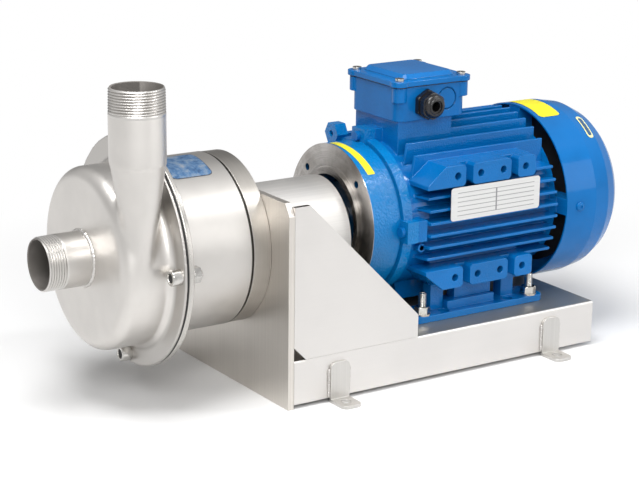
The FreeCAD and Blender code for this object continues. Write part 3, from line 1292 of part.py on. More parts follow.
def make_parts():
    """Makes every sub-part in turn."""
    make_base_channel()
    make_front_plate()
    make_gusset("gusset_far", "-base_width / 2")
    make_gusset("gusset_near", "base_width / 2 - gusset_sheet")
    make_base_lugs()
    make_guard()
    make_guard_screws()
    make_bracket()
    make_bracket_screws()
    ring("lantern_drum", "drum_front", "drum_back", "drum_r - drum_wall", "drum_r")
    make_rear_cover()
    make_casing()
    make_pipes()
    rim = "(flange_r - gasket_inset)"
    ring("casing_gasket", "casing_back", "cover_front", f"{rim} - gasket_width", rim)
    make_casing_screws()
    make_casing_nuts()
    make_pump_shaft()
    make_key("pump_key", "pump_hub_front + (jaw_hub_length - key_length) / 2")
    make_impeller()
    turned("impeller_nut", [
        ("impeller_nose", "nut_thread_r + fit_gap"), ("impeller_nose", "cone_nut_r"),
        ("impeller_nose - cone_nut_grip", "cone_nut_r"),
        ("impeller_nose - cone_nut_length", "cone_nut_r / 3"),
        ("impeller_nose - cone_nut_length", "0"), ("impeller_nose - nut_depth", "0"),
        ("impeller_nose - nut_depth", "nut_thread_r + fit_gap")])
    make_seal()
    make_bearings("pump", "front_bearing", "rear_bearing", "bearing_bore_r")
    make_lip_seals()
    make_hub_pair()
    make_spider()
    make_key("motor_key", "motor_shaft_end + (jaw_hub_length - key_length) / 2")
    make_motor_shaft()
    make_front_shield()
    make_tie_screws()
    make_frame()
    ring("stator_core", "stator_front", "stator_front + stator_length", "rotor_r",
         "stator_r - fit_gap")
    make_windings()
    ring("rotor_core", "stator_front", "stator_front + stator_length", "motor_mid_r + fit_gap",
         "rotor_r - air_gap")
    make_bearings("motor", "shaft_seat_front", "shaft_seat_back", "bearing_bore_r")
    make_rear_shield()
    make_cowl()
    make_cowl_screws()
    make_fan()
    make_foot("foot_near", "-")
    make_foot("foot_far", "")
    make_foot_bolts()
    make_studs()
    make_terminal_box()
    make_box_gasket()
    make_lid()
    make_lid_screws()
    make_terminal_block()
    make_gland()
    make_rating_plate()


def export_parts():
    """Checks every sub-part and writes each one to its own file."""
    doc.recompute()
    for item in doc.Objects:
        if "Invalid" in item.State or "Error" in item.State:
            raise RuntimeError(f"{item.Name} is {item.State}")
    kept = [item for item in doc.Objects
            if item.TypeId == "PartDesign::Body" or item.TypeId == "Part::Feature"]
    for item in kept:
        if item.Shape.isNull() or not item.Shape.isValid():
            raise RuntimeError(f"{item.Label} has no sound shape")
    os.makedirs("parts", exist_ok=True)
    for item in kept:
        item.Shape.exportStep(f"parts/{item.Label}.step")


fill_sheet()
make_parts()
export_parts()
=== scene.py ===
"""A centrifugal pump on its base frame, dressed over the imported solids."""

import logging
import math
from abc import ABC, abstractmethod
from dataclasses import dataclass, field
from enum import Enum
from typing import Any, Callable, ClassVar, Optional, Sequence, Union

import bmesh
import bpy
from mathutils import Matrix, Vector


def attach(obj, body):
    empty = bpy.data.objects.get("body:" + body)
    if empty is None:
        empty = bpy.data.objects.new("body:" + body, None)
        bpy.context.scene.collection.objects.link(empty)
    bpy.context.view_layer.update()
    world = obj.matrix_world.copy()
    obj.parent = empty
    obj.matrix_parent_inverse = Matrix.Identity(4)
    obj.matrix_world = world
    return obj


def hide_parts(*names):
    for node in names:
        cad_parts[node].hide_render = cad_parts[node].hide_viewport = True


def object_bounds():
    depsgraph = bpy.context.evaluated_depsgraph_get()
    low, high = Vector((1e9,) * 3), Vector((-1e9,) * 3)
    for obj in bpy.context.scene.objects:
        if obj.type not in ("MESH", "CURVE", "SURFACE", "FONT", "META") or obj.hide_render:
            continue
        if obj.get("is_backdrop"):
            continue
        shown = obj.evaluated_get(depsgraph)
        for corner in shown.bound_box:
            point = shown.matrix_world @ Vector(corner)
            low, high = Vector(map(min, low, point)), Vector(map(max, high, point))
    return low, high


log = logging.getLogger("pump")
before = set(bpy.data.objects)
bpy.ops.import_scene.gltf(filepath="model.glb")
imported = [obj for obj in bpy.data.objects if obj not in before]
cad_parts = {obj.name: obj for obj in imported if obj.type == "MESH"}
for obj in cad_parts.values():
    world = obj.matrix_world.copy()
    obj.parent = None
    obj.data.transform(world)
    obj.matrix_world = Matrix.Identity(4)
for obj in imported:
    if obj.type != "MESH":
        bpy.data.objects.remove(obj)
cad_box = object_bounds()

MM = 0.001
SHAFT_Z = 0.134

Point = tuple[float, float, float]
Colour = tuple[float, float, float]
Profile = Sequence[tuple[float, float]]


def dimmed(tone: Colour, share: float) -> Colour:
    """Keep a share of a colour."""
    return tuple(share * c for c in tone)


def ramp(value: float, low: float, high: float) -> float:
    """Give how far a value has come from low to high, held between 0 and 1."""
    return min(max((value - low) / (high - low), 0.0), 1.0)


def smooth_faces(mesh: bpy.types.Mesh) -> None:
    """Shade every face of a mesh as a part of a curve."""
    for polygon in mesh.polygons:
        polygon.use_smooth = True


class Wire:
    """A socket of a shader that is used in expressions as a number would be."""

    def __init__(self, graph: "Graph", socket: Optional[bpy.types.NodeSocket]) -> None:
        """Keep the socket and the graph that it belongs to."""
        self.graph = graph
        self.socket = socket

    def math(self, operation: str, *values: "Value") -> "Wire":
        """Add one Math node, with these inputs in order."""
        return self.graph.node("ShaderNodeMath", {"operation": operation}, dict(enumerate(values)))

    def __add__(self, other: "Value") -> "Wire":
        """Add."""
        return self.math("ADD", self, other)

    __radd__ = __add__

    def __sub__(self, other: "Value") -> "Wire":
        """Take away."""
        return self.math("SUBTRACT", self, other)

    def __rsub__(self, other: "Value") -> "Wire":
        """Take this from a number."""
        return self.math("SUBTRACT", other, self)

    def __mul__(self, other: "Value") -> "Wire":
        """Multiply."""
        return self.math("MULTIPLY", self, other)

    __rmul__ = __mul__

    def __truediv__(self, other: "Value") -> "Wire":
        """Divide."""
        return self.math("DIVIDE", self, other)

    def __pow__(self, other: "Value") -> "Wire":
        """Raise to a power."""
        return self.math("POWER", self, other)

    def __lt__(self, other: "Value") -> "Wire":
        """Give 1 where this is less."""
        return self.math("LESS_THAN", self, other)

    def __gt__(self, other: "Value") -> "Wire":
        """Give 1 where this is greater."""
        return self.math("GREATER_THAN", self, other)

    def __abs__(self) -> "Wire":
        """Drop the sign."""
        return self.math("ABSOLUTE", self)

    def fraction(self) -> "Wire":
        """Keep what stands behind the point."""
        return self.math("FRACT", self)

    def sister(self, output: Union[int, str]) -> "Wire":
        """Give another output of the same node."""
        return Wire(self.graph, self.socket.node.outputs[output])

    def held(self) -> "Wire":
        """Keep between 0 and 1."""
        return self.graph.node("ShaderNodeClamp", {}, {0: self})

    def step(self, low: float, high: float, start: float = 0.0, end: float = 1.0) -> "Wire":
        """Blend smoothly from one value to another.

        Args:
            low: where the blend starts.
            high: where it ends.
            start: the value below.
            end: the value above.

        Returns:
            The blended value.
        """
        return self.graph.node(
            "ShaderNodeMapRange",
            {"interpolation_type": "SMOOTHSTEP"},
            {0: self, 1: low, 2: high, 3: start, 4: end},
        )


Value = Union[float, Wire]


class Graph:
    """The node tree of one material."""

    def __init__(self, tree: bpy.types.NodeTree) -> None:
        """Empty the tree and keep it."""
        self.tree = tree
        tree.nodes.clear()

    def node(
        self,
        kind: str,
        settings: Optional[dict[str, Any]] = None,
        inputs: Optional[dict[Union[int, str], Any]] = None,
        output: Union[int, str] = 0,
    ) -> Wire:
        """Add any node.

        Args:
            kind: the node's type.
            settings: its own settings, or the stops of its ramp.
            inputs: values or wires for its sockets, by name or number.
            output: the socket that is returned.

        Returns:
            The chosen output.
        """
        made = self.tree.nodes.new(kind)
        for key, value in (settings or {}).items():
            if key == "stops":
                stops = made.color_ramp.elements
                while len(stops) < len(value):
                    stops.new(0.5)
                for element, (place, shade) in zip(stops, value):
                    element.position = place
                    element.color = (*shade, 1.0)
            else:
                setattr(made, key, value)
        for key, value in (inputs or {}).items():
            socket = made.inputs[key]
            if isinstance(value, Wire):
                self.tree.links.new(value.socket, socket)
            elif isinstance(value, tuple) and len(value) == 3 and socket.type == "RGBA":
                socket.default_value = (*value, 1.0)
            else:
                socket.default_value = value
        return Wire(self, made.outputs[output] if made.outputs else None)

    def place(self) -> Wire:
        """Give the point's place on the object."""
        return self.node("ShaderNodeTexCoord", output="Object")

    def parts(self, vector: Wire) -> tuple[Wire, Wire, Wire]:
        """Split a vector into the wires of its three numbers."""
        apart = self.node("ShaderNodeSeparateXYZ", {}, {0: vector})
        return tuple(apart.sister(i) for i in range(3))

    def stretched(self, vector: Wire, scale: Point) -> Wire:
        """Scale a vector along each axis."""
        return self.node("ShaderNodeVectorMath", {"operation": "MULTIPLY"}, {0: vector, 1: scale})

    def noise(self, vector: Wire, scale: float, detail: float = 2.0, rough: float = 0.5) -> Wire:
        """Make soft noise from 0 to 1, with its scale in grains to the metre."""
        inputs = {"Vector": vector, "Scale": scale, "Detail": detail, "Roughness": rough}
        return self.node("ShaderNodeTexNoise", {}, inputs)

    def blend(self, factor: Value, first: Any, second: Any) -> Wire:
        """Mix two colours; the factor is how much of the second shows."""
        inputs = {0: factor, 6: first, 7: second}
        return self.node("ShaderNodeMix", {"data_type": "RGBA"}, inputs, 2)

    def mottled(
        self, factor: Wire, tone: Colour, share: float, low: float = 0.3, high: float = 0.7
    ) -> Wire:
        """Blend a tone with a darker shade that keeps this share of it."""
        return self.blend(factor.step(low, high), dimmed(tone, share), tone)

    def from_shaft(self, y: Wire, z: Wire) -> Wire:
        """Give the distance from the shaft's line."""
        return (y * y + (z - SHAFT_Z) * (z - SHAFT_Z)) ** 0.5

    def rings(self, distance: Wire, scale: float) -> Wire:
        """Make the fine rings that a lathe leaves, with the scale in rings to the metre."""
        inputs = {"W": distance * scale, "Scale": 1.0, "Detail": 2.0}
        return self.node("ShaderNodeTexNoise", {"noise_dimensions": "1D"}, inputs)

    def bump(self, height: Wire, strength: float, distance: float) -> Wire:
        """Turn a height into a normal, with the metres that one unit of it stands for."""
        inputs = {"Height": height, "Strength": strength, "Distance": distance}
        return self.node("ShaderNodeBump", {}, inputs)

    def surface(self, inputs: dict[str, Any]) -> None:
        """Close the graph with one Principled shader that has these sockets."""
        shader = self.node("ShaderNodeBsdfPrincipled", {}, inputs)
        self.node("ShaderNodeOutputMaterial", {}, {0: shader})


class Grain(Enum):
    """Which way a metal was worked."""

    ALONG = (3.0, 900.0, 900.0)
    UPRIGHT = (900.0, 900.0, 3.0)


class Finish(ABC):
    """A surface that pieces are dressed in."""

    made: ClassVar[dict["Finish", bpy.types.Material]] = {}

    @abstractmethod
    def shade(self, graph: Graph) -> None:
        """Fill the material's nodes."""

    def material(self) -> bpy.types.Material:
        """Give the finish's material, made once.

        Returns:
            The material.
        """
        if self not in Finish.made:
            made = bpy.data.materials.new(type(self).__name__)
            made.use_nodes = True
            self.shade(Graph(made.node_tree))
            Finish.made[self] = made
        return Finish.made[self]


@dataclass(frozen=True)
class BlastedSteel(Finish):
    """Stainless steel after bead blasting, with painted shade beyond a place on X if asked."""

    tone: Colour = (0.66, 0.64, 0.615)
    roughness: float = 0.4
    mottle: float = 0.1
    grit: float = 0.05
    dark_from: Optional[float] = None
    painted_shade_from: Optional[float] = None
    painted_shade_share: float = 0.72
    painted_gap_shade: Colour = (0.015, 0.014, 0.013)
    clouds: float = 22.0
    grains: float = 2600.0

    def shade(self, graph: Graph) -> None:
        """Fill the material's nodes.

        Args:
            graph: the material's node tree.
        """
        place = graph.place()
        cloud = graph.noise(place, self.clouds, 3.0)
        grit = graph.noise(place, self.grains, 2.0)
        rough = self.roughness + (cloud - 0.5) * self.mottle + (grit - 0.5) * 0.08
        colour = graph.mottled(cloud, self.tone, 0.9, 0.3, 0.75)
        along = graph.parts(place)[0]
        # Painted shade: beyond this place the tone keeps only a share of itself, darkening the
        # flange.
        if self.painted_shade_from is not None:
            beyond = along.step(self.painted_shade_from - 2.0 * MM, self.painted_shade_from)
            colour = graph.blend(beyond, colour, dimmed(self.tone, self.painted_shade_share))
        # Painted shadow: beyond dark_from the steel is painted near black, for the gap at the
        # drum's end.
        if self.dark_from is not None:
            beyond = along.step(self.dark_from, self.dark_from + 0.8 * MM)
            colour = graph.blend(beyond * 0.95, colour, self.painted_gap_shade)
        graph.surface(
            {
                "Base Color": colour,
                "Metallic": 1.0,
                "Roughness": rough,
                "Normal": graph.bump(grit, self.grit, 0.2 * MM),
            }
        )


@dataclass(frozen=True)
class BrushedSteel(Finish):
    """Sheet stainless steel with a faint rolled grain, and painted shade on top if asked."""

    tone: Colour = (0.7, 0.685, 0.66)
    roughness: float = 0.42
    grain: Grain = Grain.ALONG
    depth: float = 0.06
    streak: float = 0.6
    deepest: float = 0.88
    top: Optional[Colour] = None
    painted_corner_shade: Colour = (0.09, 0.077, 0.066)
    corner_shade_x: tuple[float, float] = (-0.155, -0.141)
    clouds: float = 14.0

    def shade(self, graph: Graph) -> None:
        """Fill the material's nodes.

        Args:
            graph: the material's node tree.
        """
        place = graph.place()
        lines = graph.noise(graph.stretched(place, self.grain.value), 1.0, 3.0, 0.6)
        cloud = graph.noise(place, self.clouds, 3.0)
        mixed = lines * self.streak + cloud * (1 - self.streak)
        colour = graph.mottled(mixed, self.tone, self.deepest)
        # Painted shade: faces that look up take the darker top colour.
        if self.top is not None:
            upward = graph.parts(graph.node("ShaderNodeNewGeometry", output="Normal"))[2]
            # Painted shade: top faces near the front plate are darker still.
            in_corner_shade = graph.parts(place)[0].step(*self.corner_shade_x, 1.0, 0.0)
            top = graph.blend(in_corner_shade, self.top, self.painted_corner_shade)
            colour = graph.blend(upward.step(0.8, 0.98), colour, top)
        worked = (lines - 0.5) * 0.2 * self.streak + (cloud - 0.5) * 0.1
        graph.surface(
            {
                "Base Color": colour,
                "Metallic": 1.0,
                "Roughness": self.roughness + worked,
                "Normal": graph.bump(lines, self.depth, 0.15 * MM),
            }
        )


@dataclass(frozen=True)
class PipeSteel(Finish):
    """Drawn stainless pipe, with painted shade in the thread's roots and down the bore."""

    middle: Point
    upright: bool
    bore_r: float
    tone: Colour = (0.66, 0.64, 0.615)
    painted_root_shade: Colour = (0.16, 0.15, 0.14)
    blotches: tuple[Colour, Colour] = ((0.16, 0.148, 0.135), (0.27, 0.25, 0.235))
    roughness: float = 0.36
    clouds: float = 26.0
    grains: float = 2400.0

    def shade(self, graph: Graph) -> None:
        """Fill the material's nodes.

        Args:
            graph: the material's node tree.
        """
        place = graph.place()
        cloud = graph.noise(place, self.clouds, 3.0)
        grit = graph.noise(place, self.grains, 2.0)
        # Painted shade: the thread's roots, found by pointiness, are painted darker.
        bend = graph.node("ShaderNodeNewGeometry", output="Pointiness")
        root = bend.step(0.42, 0.5, 1.0, 0.0)
        x, y, z = (part - at for part, at in zip(graph.parts(place), self.middle))
        other = x if self.upright else z
        # Painted shade: inside the bore the steel is painted dark in blotches, with less metal and
        # more roughness.
        inside = (y * y + other * other) ** 0.5 < self.bore_r
        metal = graph.mottled(cloud, self.tone, 0.9, 0.3, 0.75)
        bore_shade = graph.blend(cloud.step(0.35, 0.7), *self.blotches)
        root_shaded = graph.blend(root * 0.75, metal, self.painted_root_shade)
        uneven = (cloud - 0.5) * 0.1 + (grit - 0.5) * 0.06
        graph.surface(
            {
                "Base Color": graph.blend(inside, root_shaded, bore_shade),
                "Metallic": 1 - inside * 0.6,
                "Roughness": self.roughness + inside * 0.25 + uneven,
                "Normal": graph.bump(grit, 0.04, 0.2 * MM),
            }
        )


@dataclass(frozen=True)
class TurnedSteel(Finish):
    """Metal from a lathe, with fine rings round the shaft's line."""

    tone: Colour = (0.57, 0.55, 0.52)
    roughness: float = 0.27
    ring: float = 1500.0
    depth: float = 0.1
    clouds: float = 30.0

    def shade(self, graph: Graph) -> None:
        """Fill the material's nodes.

        Args:
            graph: the material's node tree.
        """
        place = graph.place()
        x, y, z = graph.parts(place)
        rings = graph.rings(graph.from_shaft(y, z) + x, self.ring)
        cloud = graph.noise(place, self.clouds, 2.0)
        graph.surface(
            {
                "Base Color": graph.mottled(rings * 0.5 + cloud * 0.5, self.tone, 0.82),
                "Metallic": 1.0,
                "Roughness": self.roughness + (rings - 0.5) * 0.2,
                "Normal": graph.bump(rings, self.depth, 0.1 * MM),
            }
        )


@dataclass(frozen=True)
class Paint(Finish):
    """Gloss blue paint over a casting's skin, with a turned face in front left bare if asked."""

    tone: Colour = (0.0015, 0.147, 0.45)
    roughness: float = 0.18
    skin: float = 0.25
    grain: float = 420.0
    coat: float = 0.2
    gloss: float = 0.1
    relief: float = 0.7 * MM
    bare_below: Optional[float] = None
    recess_r: float = 0.0
    recess_deep: float = 0.014
    recess_wide: float = 0.027
    painted_recess_shade: Colour = (0.004, 0.008, 0.018)
    bare: tuple[Colour, Colour] = ((0.3, 0.28, 0.26), (0.5, 0.48, 0.46))
    lathe: float = 1600.0
    blotches: float = 45.0
    clouds: float = 18.0

    def shade(self, graph: Graph) -> None:
        """Fill the material's nodes.

        Args:
            graph: the material's node tree.
        """
        place = graph.place()
        cast = graph.noise(place, self.grain, 2.0, 0.45)
        wave = graph.noise(place, self.grain * 0.22, 2.0)
        cloud = graph.noise(place, self.clouds, 2.0)
        height = cast * 0.7 + wave * 0.3
        colour = graph.mottled(cloud, self.tone, 0.82)
        rough = self.roughness + (cast - 0.5) * 0.08 + (cloud - 0.5) * 0.08
        inputs = {
            "Base Color": colour,
            "Roughness": rough,
            "Specular IOR Level": self.gloss,
            "Coat Weight": self.coat,
            "Coat Roughness": 0.05,
            "Normal": graph.bump(height, self.skin, self.relief),
        }
        if self.bare_below is not None:
            x, y, z = graph.parts(place)
            radius = graph.from_shaft(y, z)
            bare = (x < self.bare_below) * (radius > self.recess_r)
            rings = graph.rings(radius, self.lathe)
            stain = graph.noise(place, self.blotches, 4.0, 0.6)
            metal = graph.blend((rings * 0.35 + stain * 0.65).step(0.35, 0.65), *self.bare)
            # Painted shade: the recess and the holes behind the bare face are painted near black.
            deep = x < self.bare_below + self.recess_deep
            hollow = deep * (radius < self.recess_r + self.recess_wide)
            shaded = graph.blend(hollow * 0.8, colour, self.painted_recess_shade)
            height = height * (1 - bare) + rings * bare * 0.15
            inputs["Base Color"] = graph.blend(bare, shaded, metal)
            inputs["Roughness"] = rough + bare * (0.14 + (rings - 0.5) * 0.15)
            inputs["Metallic"] = bare
            inputs["Normal"] = graph.bump(height, self.skin, self.relief)
        graph.surface(inputs)


@dataclass(frozen=True)
class Zinc(Finish):
    """Bright plated steel of screws, nuts and studs."""

    tone: Colour = (0.62, 0.61, 0.58)
    roughness: float = 0.2
    clouds: float = 160.0
    grains: float = 1500.0

    def shade(self, graph: Graph) -> None:
        """Fill the material's nodes.

        Args:
            graph: the material's node tree.
        """
        place = graph.place()
        cloud = graph.noise(place, self.clouds, 3.0)
        fine = graph.noise(place, self.grains, 2.0)
        graph.surface(
            {
                "Base Color": graph.mottled(cloud, self.tone, 0.8),
                "Metallic": 1.0,
                "Roughness": self.roughness + (cloud - 0.5) * 0.2,
                "Normal": graph.bump(fine, 0.08, 0.1 * MM),
            }
        )


@dataclass(frozen=True)
class Moulded(Finish):
    """Rubber, plastic, ceramic or a painted iron part inside."""

    tone: Colour = (0.018, 0.018, 0.02)
    roughness: float = 0.5
    skin: float = 0.12
    grain: float = 900.0
    metallic: float = 0.0
    clouds: float = 60.0

    def shade(self, graph: Graph) -> None:
        """Fill the material's nodes.

        Args:
            graph: the material's node tree.
        """
        place = graph.place()
        fine = graph.noise(place, self.grain, 2.0)
        cloud = graph.noise(place, self.clouds, 2.0)
        graph.surface(
            {
                "Base Color": graph.mottled(cloud, self.tone, 0.75),
                "Metallic": self.metallic,
                "Roughness": self.roughness + (fine - 0.5) * 0.15,
                "Normal": graph.bump(fine, self.skin, 0.2 * MM),
            }
        )


@dataclass(frozen=True)
class BlankPlate(Finish):
    """A pale metal plate ruled with empty rows."""

    low: tuple[float, float] = (0.0134, 0.140)
    high: tuple[float, float] = (0.117, 0.174)
    rows: int = 8
    pale: tuple[Colour, Colour] = ((0.6, 0.6, 0.6), (0.72, 0.72, 0.71))
    ink: Colour = (0.12, 0.12, 0.13)

    def shade(self, graph: Graph) -> None:
        """Fill the material's nodes.

        Args:
            graph: the material's node tree.
        """
        place = graph.place()
        x, _, z = graph.parts(place)
        along = (x - self.low[0]) / (self.high[0] - self.low[0])
        up = (z - self.low[1]) / (self.high[1] - self.low[1])
        row = (up * self.rows).fraction()
        rule = (row < 0.14) * (up > 0.1) * (up < 0.78) * (along > 0.07) * (along < 0.93)
        middle = (abs(along - 0.5) < 0.008) * (up > 0.125) * (up < 0.75)
        ink = (rule + middle).held()
        brushed = graph.noise(graph.stretched(place, Grain.ALONG.value), 1.0, 2.0)
        graph.surface(
            {
                "Base Color": graph.blend(ink * 0.75, graph.blend(brushed, *self.pale), self.ink),
                "Metallic": 0.35,
                "Roughness": 0.34 + (brushed - 0.5) * 0.1,
                "Normal": graph.bump(brushed, 0.04, 0.1 * MM),
            }
        )


@dataclass(frozen=True)
class FoilLabel(Finish):
    """A blank label of blue metal foil that shifts between blues."""

    blues: tuple[tuple[float, Colour], ...] = (
        (0.32, (0.035, 0.08, 0.18)),
        (0.46, (0.1, 0.22, 0.42)),
        (0.56, (0.22, 0.32, 0.46)),
        (0.7, (0.4, 0.42, 0.47)),
    )
    clouds: float = 110.0
    grains: float = 900.0

    def shade(self, graph: Graph) -> None:
        """Fill the material's nodes.

        Args:
            graph: the material's node tree.
        """
        place = graph.place()
        cloud = graph.noise(place, self.clouds, 5.0, 0.7)
        fine = graph.noise(place, self.grains, 3.0)
        graph.surface(
            {
                "Base Color": graph.node("ShaderNodeValToRGB", {"stops": self.blues}, {0: cloud}),
                "Metallic": 0.6,
                "Roughness": 0.4 + (fine - 0.5) * 0.2,
                "Normal": graph.bump(fine, 0.1, 0.1 * MM),
            }
        )


@dataclass(frozen=True)
class Sticker(Finish):
    """A blank printed sticker with a slight gloss."""

    tone: Colour = (0.86, 0.78, 0.02)
    clouds: float = 90.0

    def shade(self, graph: Graph) -> None:
        """Fill the material's nodes.

        Args:
            graph: the material's node tree.
        """
        place = graph.place()
        cloud = graph.noise(place, self.clouds, 3.0)
        graph.surface(
            {
                "Base Color": graph.mottled(cloud, self.tone, 0.9),
                "Roughness": 0.36 + (cloud - 0.5) * 0.2,
                "Normal": graph.bump(cloud, 0.05, 0.3 * MM),
            }
        )


def build_mesh(
    name: str, points: Sequence[Point], faces: Sequence[Sequence[int]], sharp: float = 180.0
) -> bpy.types.Object:
    """Make a smooth mesh object at the origin.

    Args:
        name: the piece's name.
        points: corners in metres.
        faces: corner numbers of each face.
        sharp: the angle in degrees above which an edge stays sharp.

    Returns:
        The new object.
    """
    mesh = bpy.data.meshes.new(name)
    mesh.from_pydata(points, [], faces)
    mesh.validate()
    cleaner = bmesh.new()
    cleaner.from_mesh(mesh)
    bmesh.ops.recalc_face_normals(cleaner, faces=cleaner.faces)
    cleaner.to_mesh(mesh)
    cleaner.free()
    smooth_faces(mesh)
    if sharp < 180.0:
        mesh.set_sharp_from_angle(angle=math.radians(sharp))
    made = bpy.data.objects.new(name, mesh)
    bpy.context.scene.collection.objects.link(made)
    return made


def grid_faces(
    rows: int, columns: int, closed: bool, looped: bool = False
) -> list[tuple[int, ...]]:
    """Join a grid of points with four-sided faces.

    Args:
        rows: how many rows of points.
        columns: how many points in a row.
        closed: whether a row closes on itself.
        looped: whether the last row joins the first.

    Returns:
        The faces.
    """
    faces = []
    for i in range(rows if looped else rows - 1):
        near, far = i * columns, (i + 1) % rows * columns
        for j in range(columns if closed else columns - 1):
            k = (j + 1) % columns
            faces.append((near + j, near + k, far + k, far + j))
    return faces


class Lay(Enum):
    """Which way a spindle runs."""

    SHAFT = "along X"
    UPRIGHT = "along Z"
    ACROSS = "along Y"


@dataclass(frozen=True)
class Spindle:
    """A line that round pieces are turned about, in mm."""

    foot: Point = (0.0, 0.0, SHAFT_Z / MM)
    lay: Lay = Lay.SHAFT

    def at(self, along: float, radius: float, degrees: float) -> Point:
        """Place a point round the line.

        Args:
            along: its place on the line, in mm.
            radius: how far out it is, in mm.
            degrees: which way it looks, from +Y over the top on the shaft and else from +X.

        Returns:
            The point in metres.
        """
        angle = math.radians(degrees)
        first, second = radius * math.cos(angle), radius * math.sin(angle)
        x, y, z = self.foot
        if self.lay is Lay.SHAFT:
            spot = (along, y + first, z + second)
        elif self.lay is Lay.UPRIGHT:
            spot = (x + first, y + second, along)
        else:
            spot = (x + first, along, z + second)
        return tuple(MM * c for c in spot)

    def turned(
        self,
        profile: Profile,
        columns: int = 96,
        closed: bool = True,
        relief: Optional[Callable[[float, float, float], float]] = None,
    ) -> "Shape":
        """Turn a profile round the line.

        Args:
            profile: places along the line and radii in mm.
            columns: how many steps a turn has.
            closed: whether the profile comes back to its start.
            relief: changes a radius, given the place, the radius and the angle.

        Returns:
            The turned shape.
        """
        points = []
        for along, radius in profile:
            for j in range(columns):
                degrees = 360.0 * j / columns
                reach = relief(along, radius, degrees) if relief else radius
                points.append(self.at(along, reach, degrees))
        return Shape(points, grid_faces(len(profile), columns, closed=True, looped=closed))


@dataclass
class Shape:
    """Corners and faces on their way to a mesh."""

    points: list[Point] = field(default_factory=list)
    faces: list[tuple[int, ...]] = field(default_factory=list)

    def __add__(self, other: "Shape") -> "Shape":
        """Put two shapes in one.

        Args:
            other: the second shape.

        Returns:
            Both together.
        """
        start = len(self.points)
        moved = [tuple(start + corner for corner in face) for face in other.faces]
        return Shape(self.points + other.points, self.faces + moved)

    def mesh(self, name: str, sharp: float = 180.0) -> bpy.types.Object:
        """Make the object."""
        return build_mesh(name, self.points, self.faces, sharp)


@dataclass(frozen=True)
class Thread:
    """A screw thread cut in a round piece."""

    start: float
    end: float
    pitch: float
    depth: float
    runout: float = 0.6
    cuts: int = 8

    def relief(self, along: float, radius: float, degrees: float) -> float:
        """Lower a radius where the thread cuts it.

        Args:
            along: the place in mm.
            radius: the plain radius in mm.
            degrees: the angle.

        Returns:
            The radius with the thread.
        """
        inside = min(along - self.start, self.end - along)
        if inside <= 0 or radius <= self.depth * 2:
            return radius
        phase = (along / self.pitch - degrees / 360.0) % 1.0
        flank = abs(2.0 * phase - 1.0)
        crest = 1.0 - (3.0 - 2.0 * flank) * flank * flank
        share = min(1.0, inside / (self.runout * self.pitch))
        return radius - self.depth * share * (1.0 - crest)

    def rows(self) -> list[float]:
        """Give the places along the thread that its shape needs.

        Returns:
            The places in mm, from its start to its end.
        """
        length = self.end - self.start
        count = round(length / self.pitch * self.cuts)
        return [self.start + length * i / count for i in range(count + 1)]


def flat_reach(flats: float, degrees: float) -> float:
    """Give how far a hexagon of this width across its flats reaches at an angle."""
    return flats / 2 / math.cos(math.radians((degrees + 30.0) % 60.0 - 30.0))


def hexagon(
    flats: float, chamfer: Callable[[float], float]
) -> Callable[[float, float, float], float]:
    """Give the relief of a six-sided piece whose corners a chamfer trims.

    Args:
        flats: the width across its flats in mm.
        chamfer: the greatest radius at a place along the line.

    Returns:
        The relief.
    """

    def relief(along: float, radius: float, degrees: float) -> float:
        """Trim a radius to the flats, but leave the bore.

        Args:
            along: the place in mm.
            radius: the plain radius in mm.
            degrees: the angle.

        Returns:
            The trimmed radius.
        """
        if radius < flats / 2:
            return radius
        return min(flat_reach(flats, degrees), chamfer(along))

    return relief


def quarter(middle: tuple[float, float], radius: float, steps: int) -> list[tuple[float, float]]:
    """Draw a quarter of a circle, from its outermost to its topmost point.

    Args:
        middle: the circle's middle.
        radius: its radius.
        steps: how many straight steps it has.

    Returns:
        Its points.
    """
    turns = [math.pi / 2 * i / steps for i in range(steps + 1)]
    return [
        (middle[0] + radius * math.cos(turn), middle[1] + radius * math.sin(turn)) for turn in turns
    ]


SHAFT = Spindle()


def bent_patch(
    name: str,
    surface: Callable[[float, float], Point],
    size: tuple[float, float],
    corner: float,
    cells: tuple[int, int] = (36, 36),
) -> bpy.types.Object:
    """Make a thin rounded patch that follows a surface.

    Args:
        name: the piece's name.
        surface: gives the point for a place across and along, in mm from the patch's middle.
        size: the patch's width and height in mm.
        corner: the radius of its corners in mm.
        cells: how finely it is divided each way.

    Returns:
        The new piece.
    """
    half_w, half_h = size[0] / 2, size[1] / 2
    points: list[Point] = []
    for i in range(cells[0] + 1):
        v = -half_h + size[1] * i / cells[0]
        inset = max(0.0, abs(v) - (half_h - corner))
        reach = half_w - corner + math.sqrt(max(corner * corner - inset * inset, 0.0))
        for j in range(cells[1] + 1):
            u = -reach + 2 * reach * j / cells[1]
            points.append(surface(u, v))
    return build_mesh(name, points, grid_faces(cells[0] + 1, cells[1] + 1, closed=False))


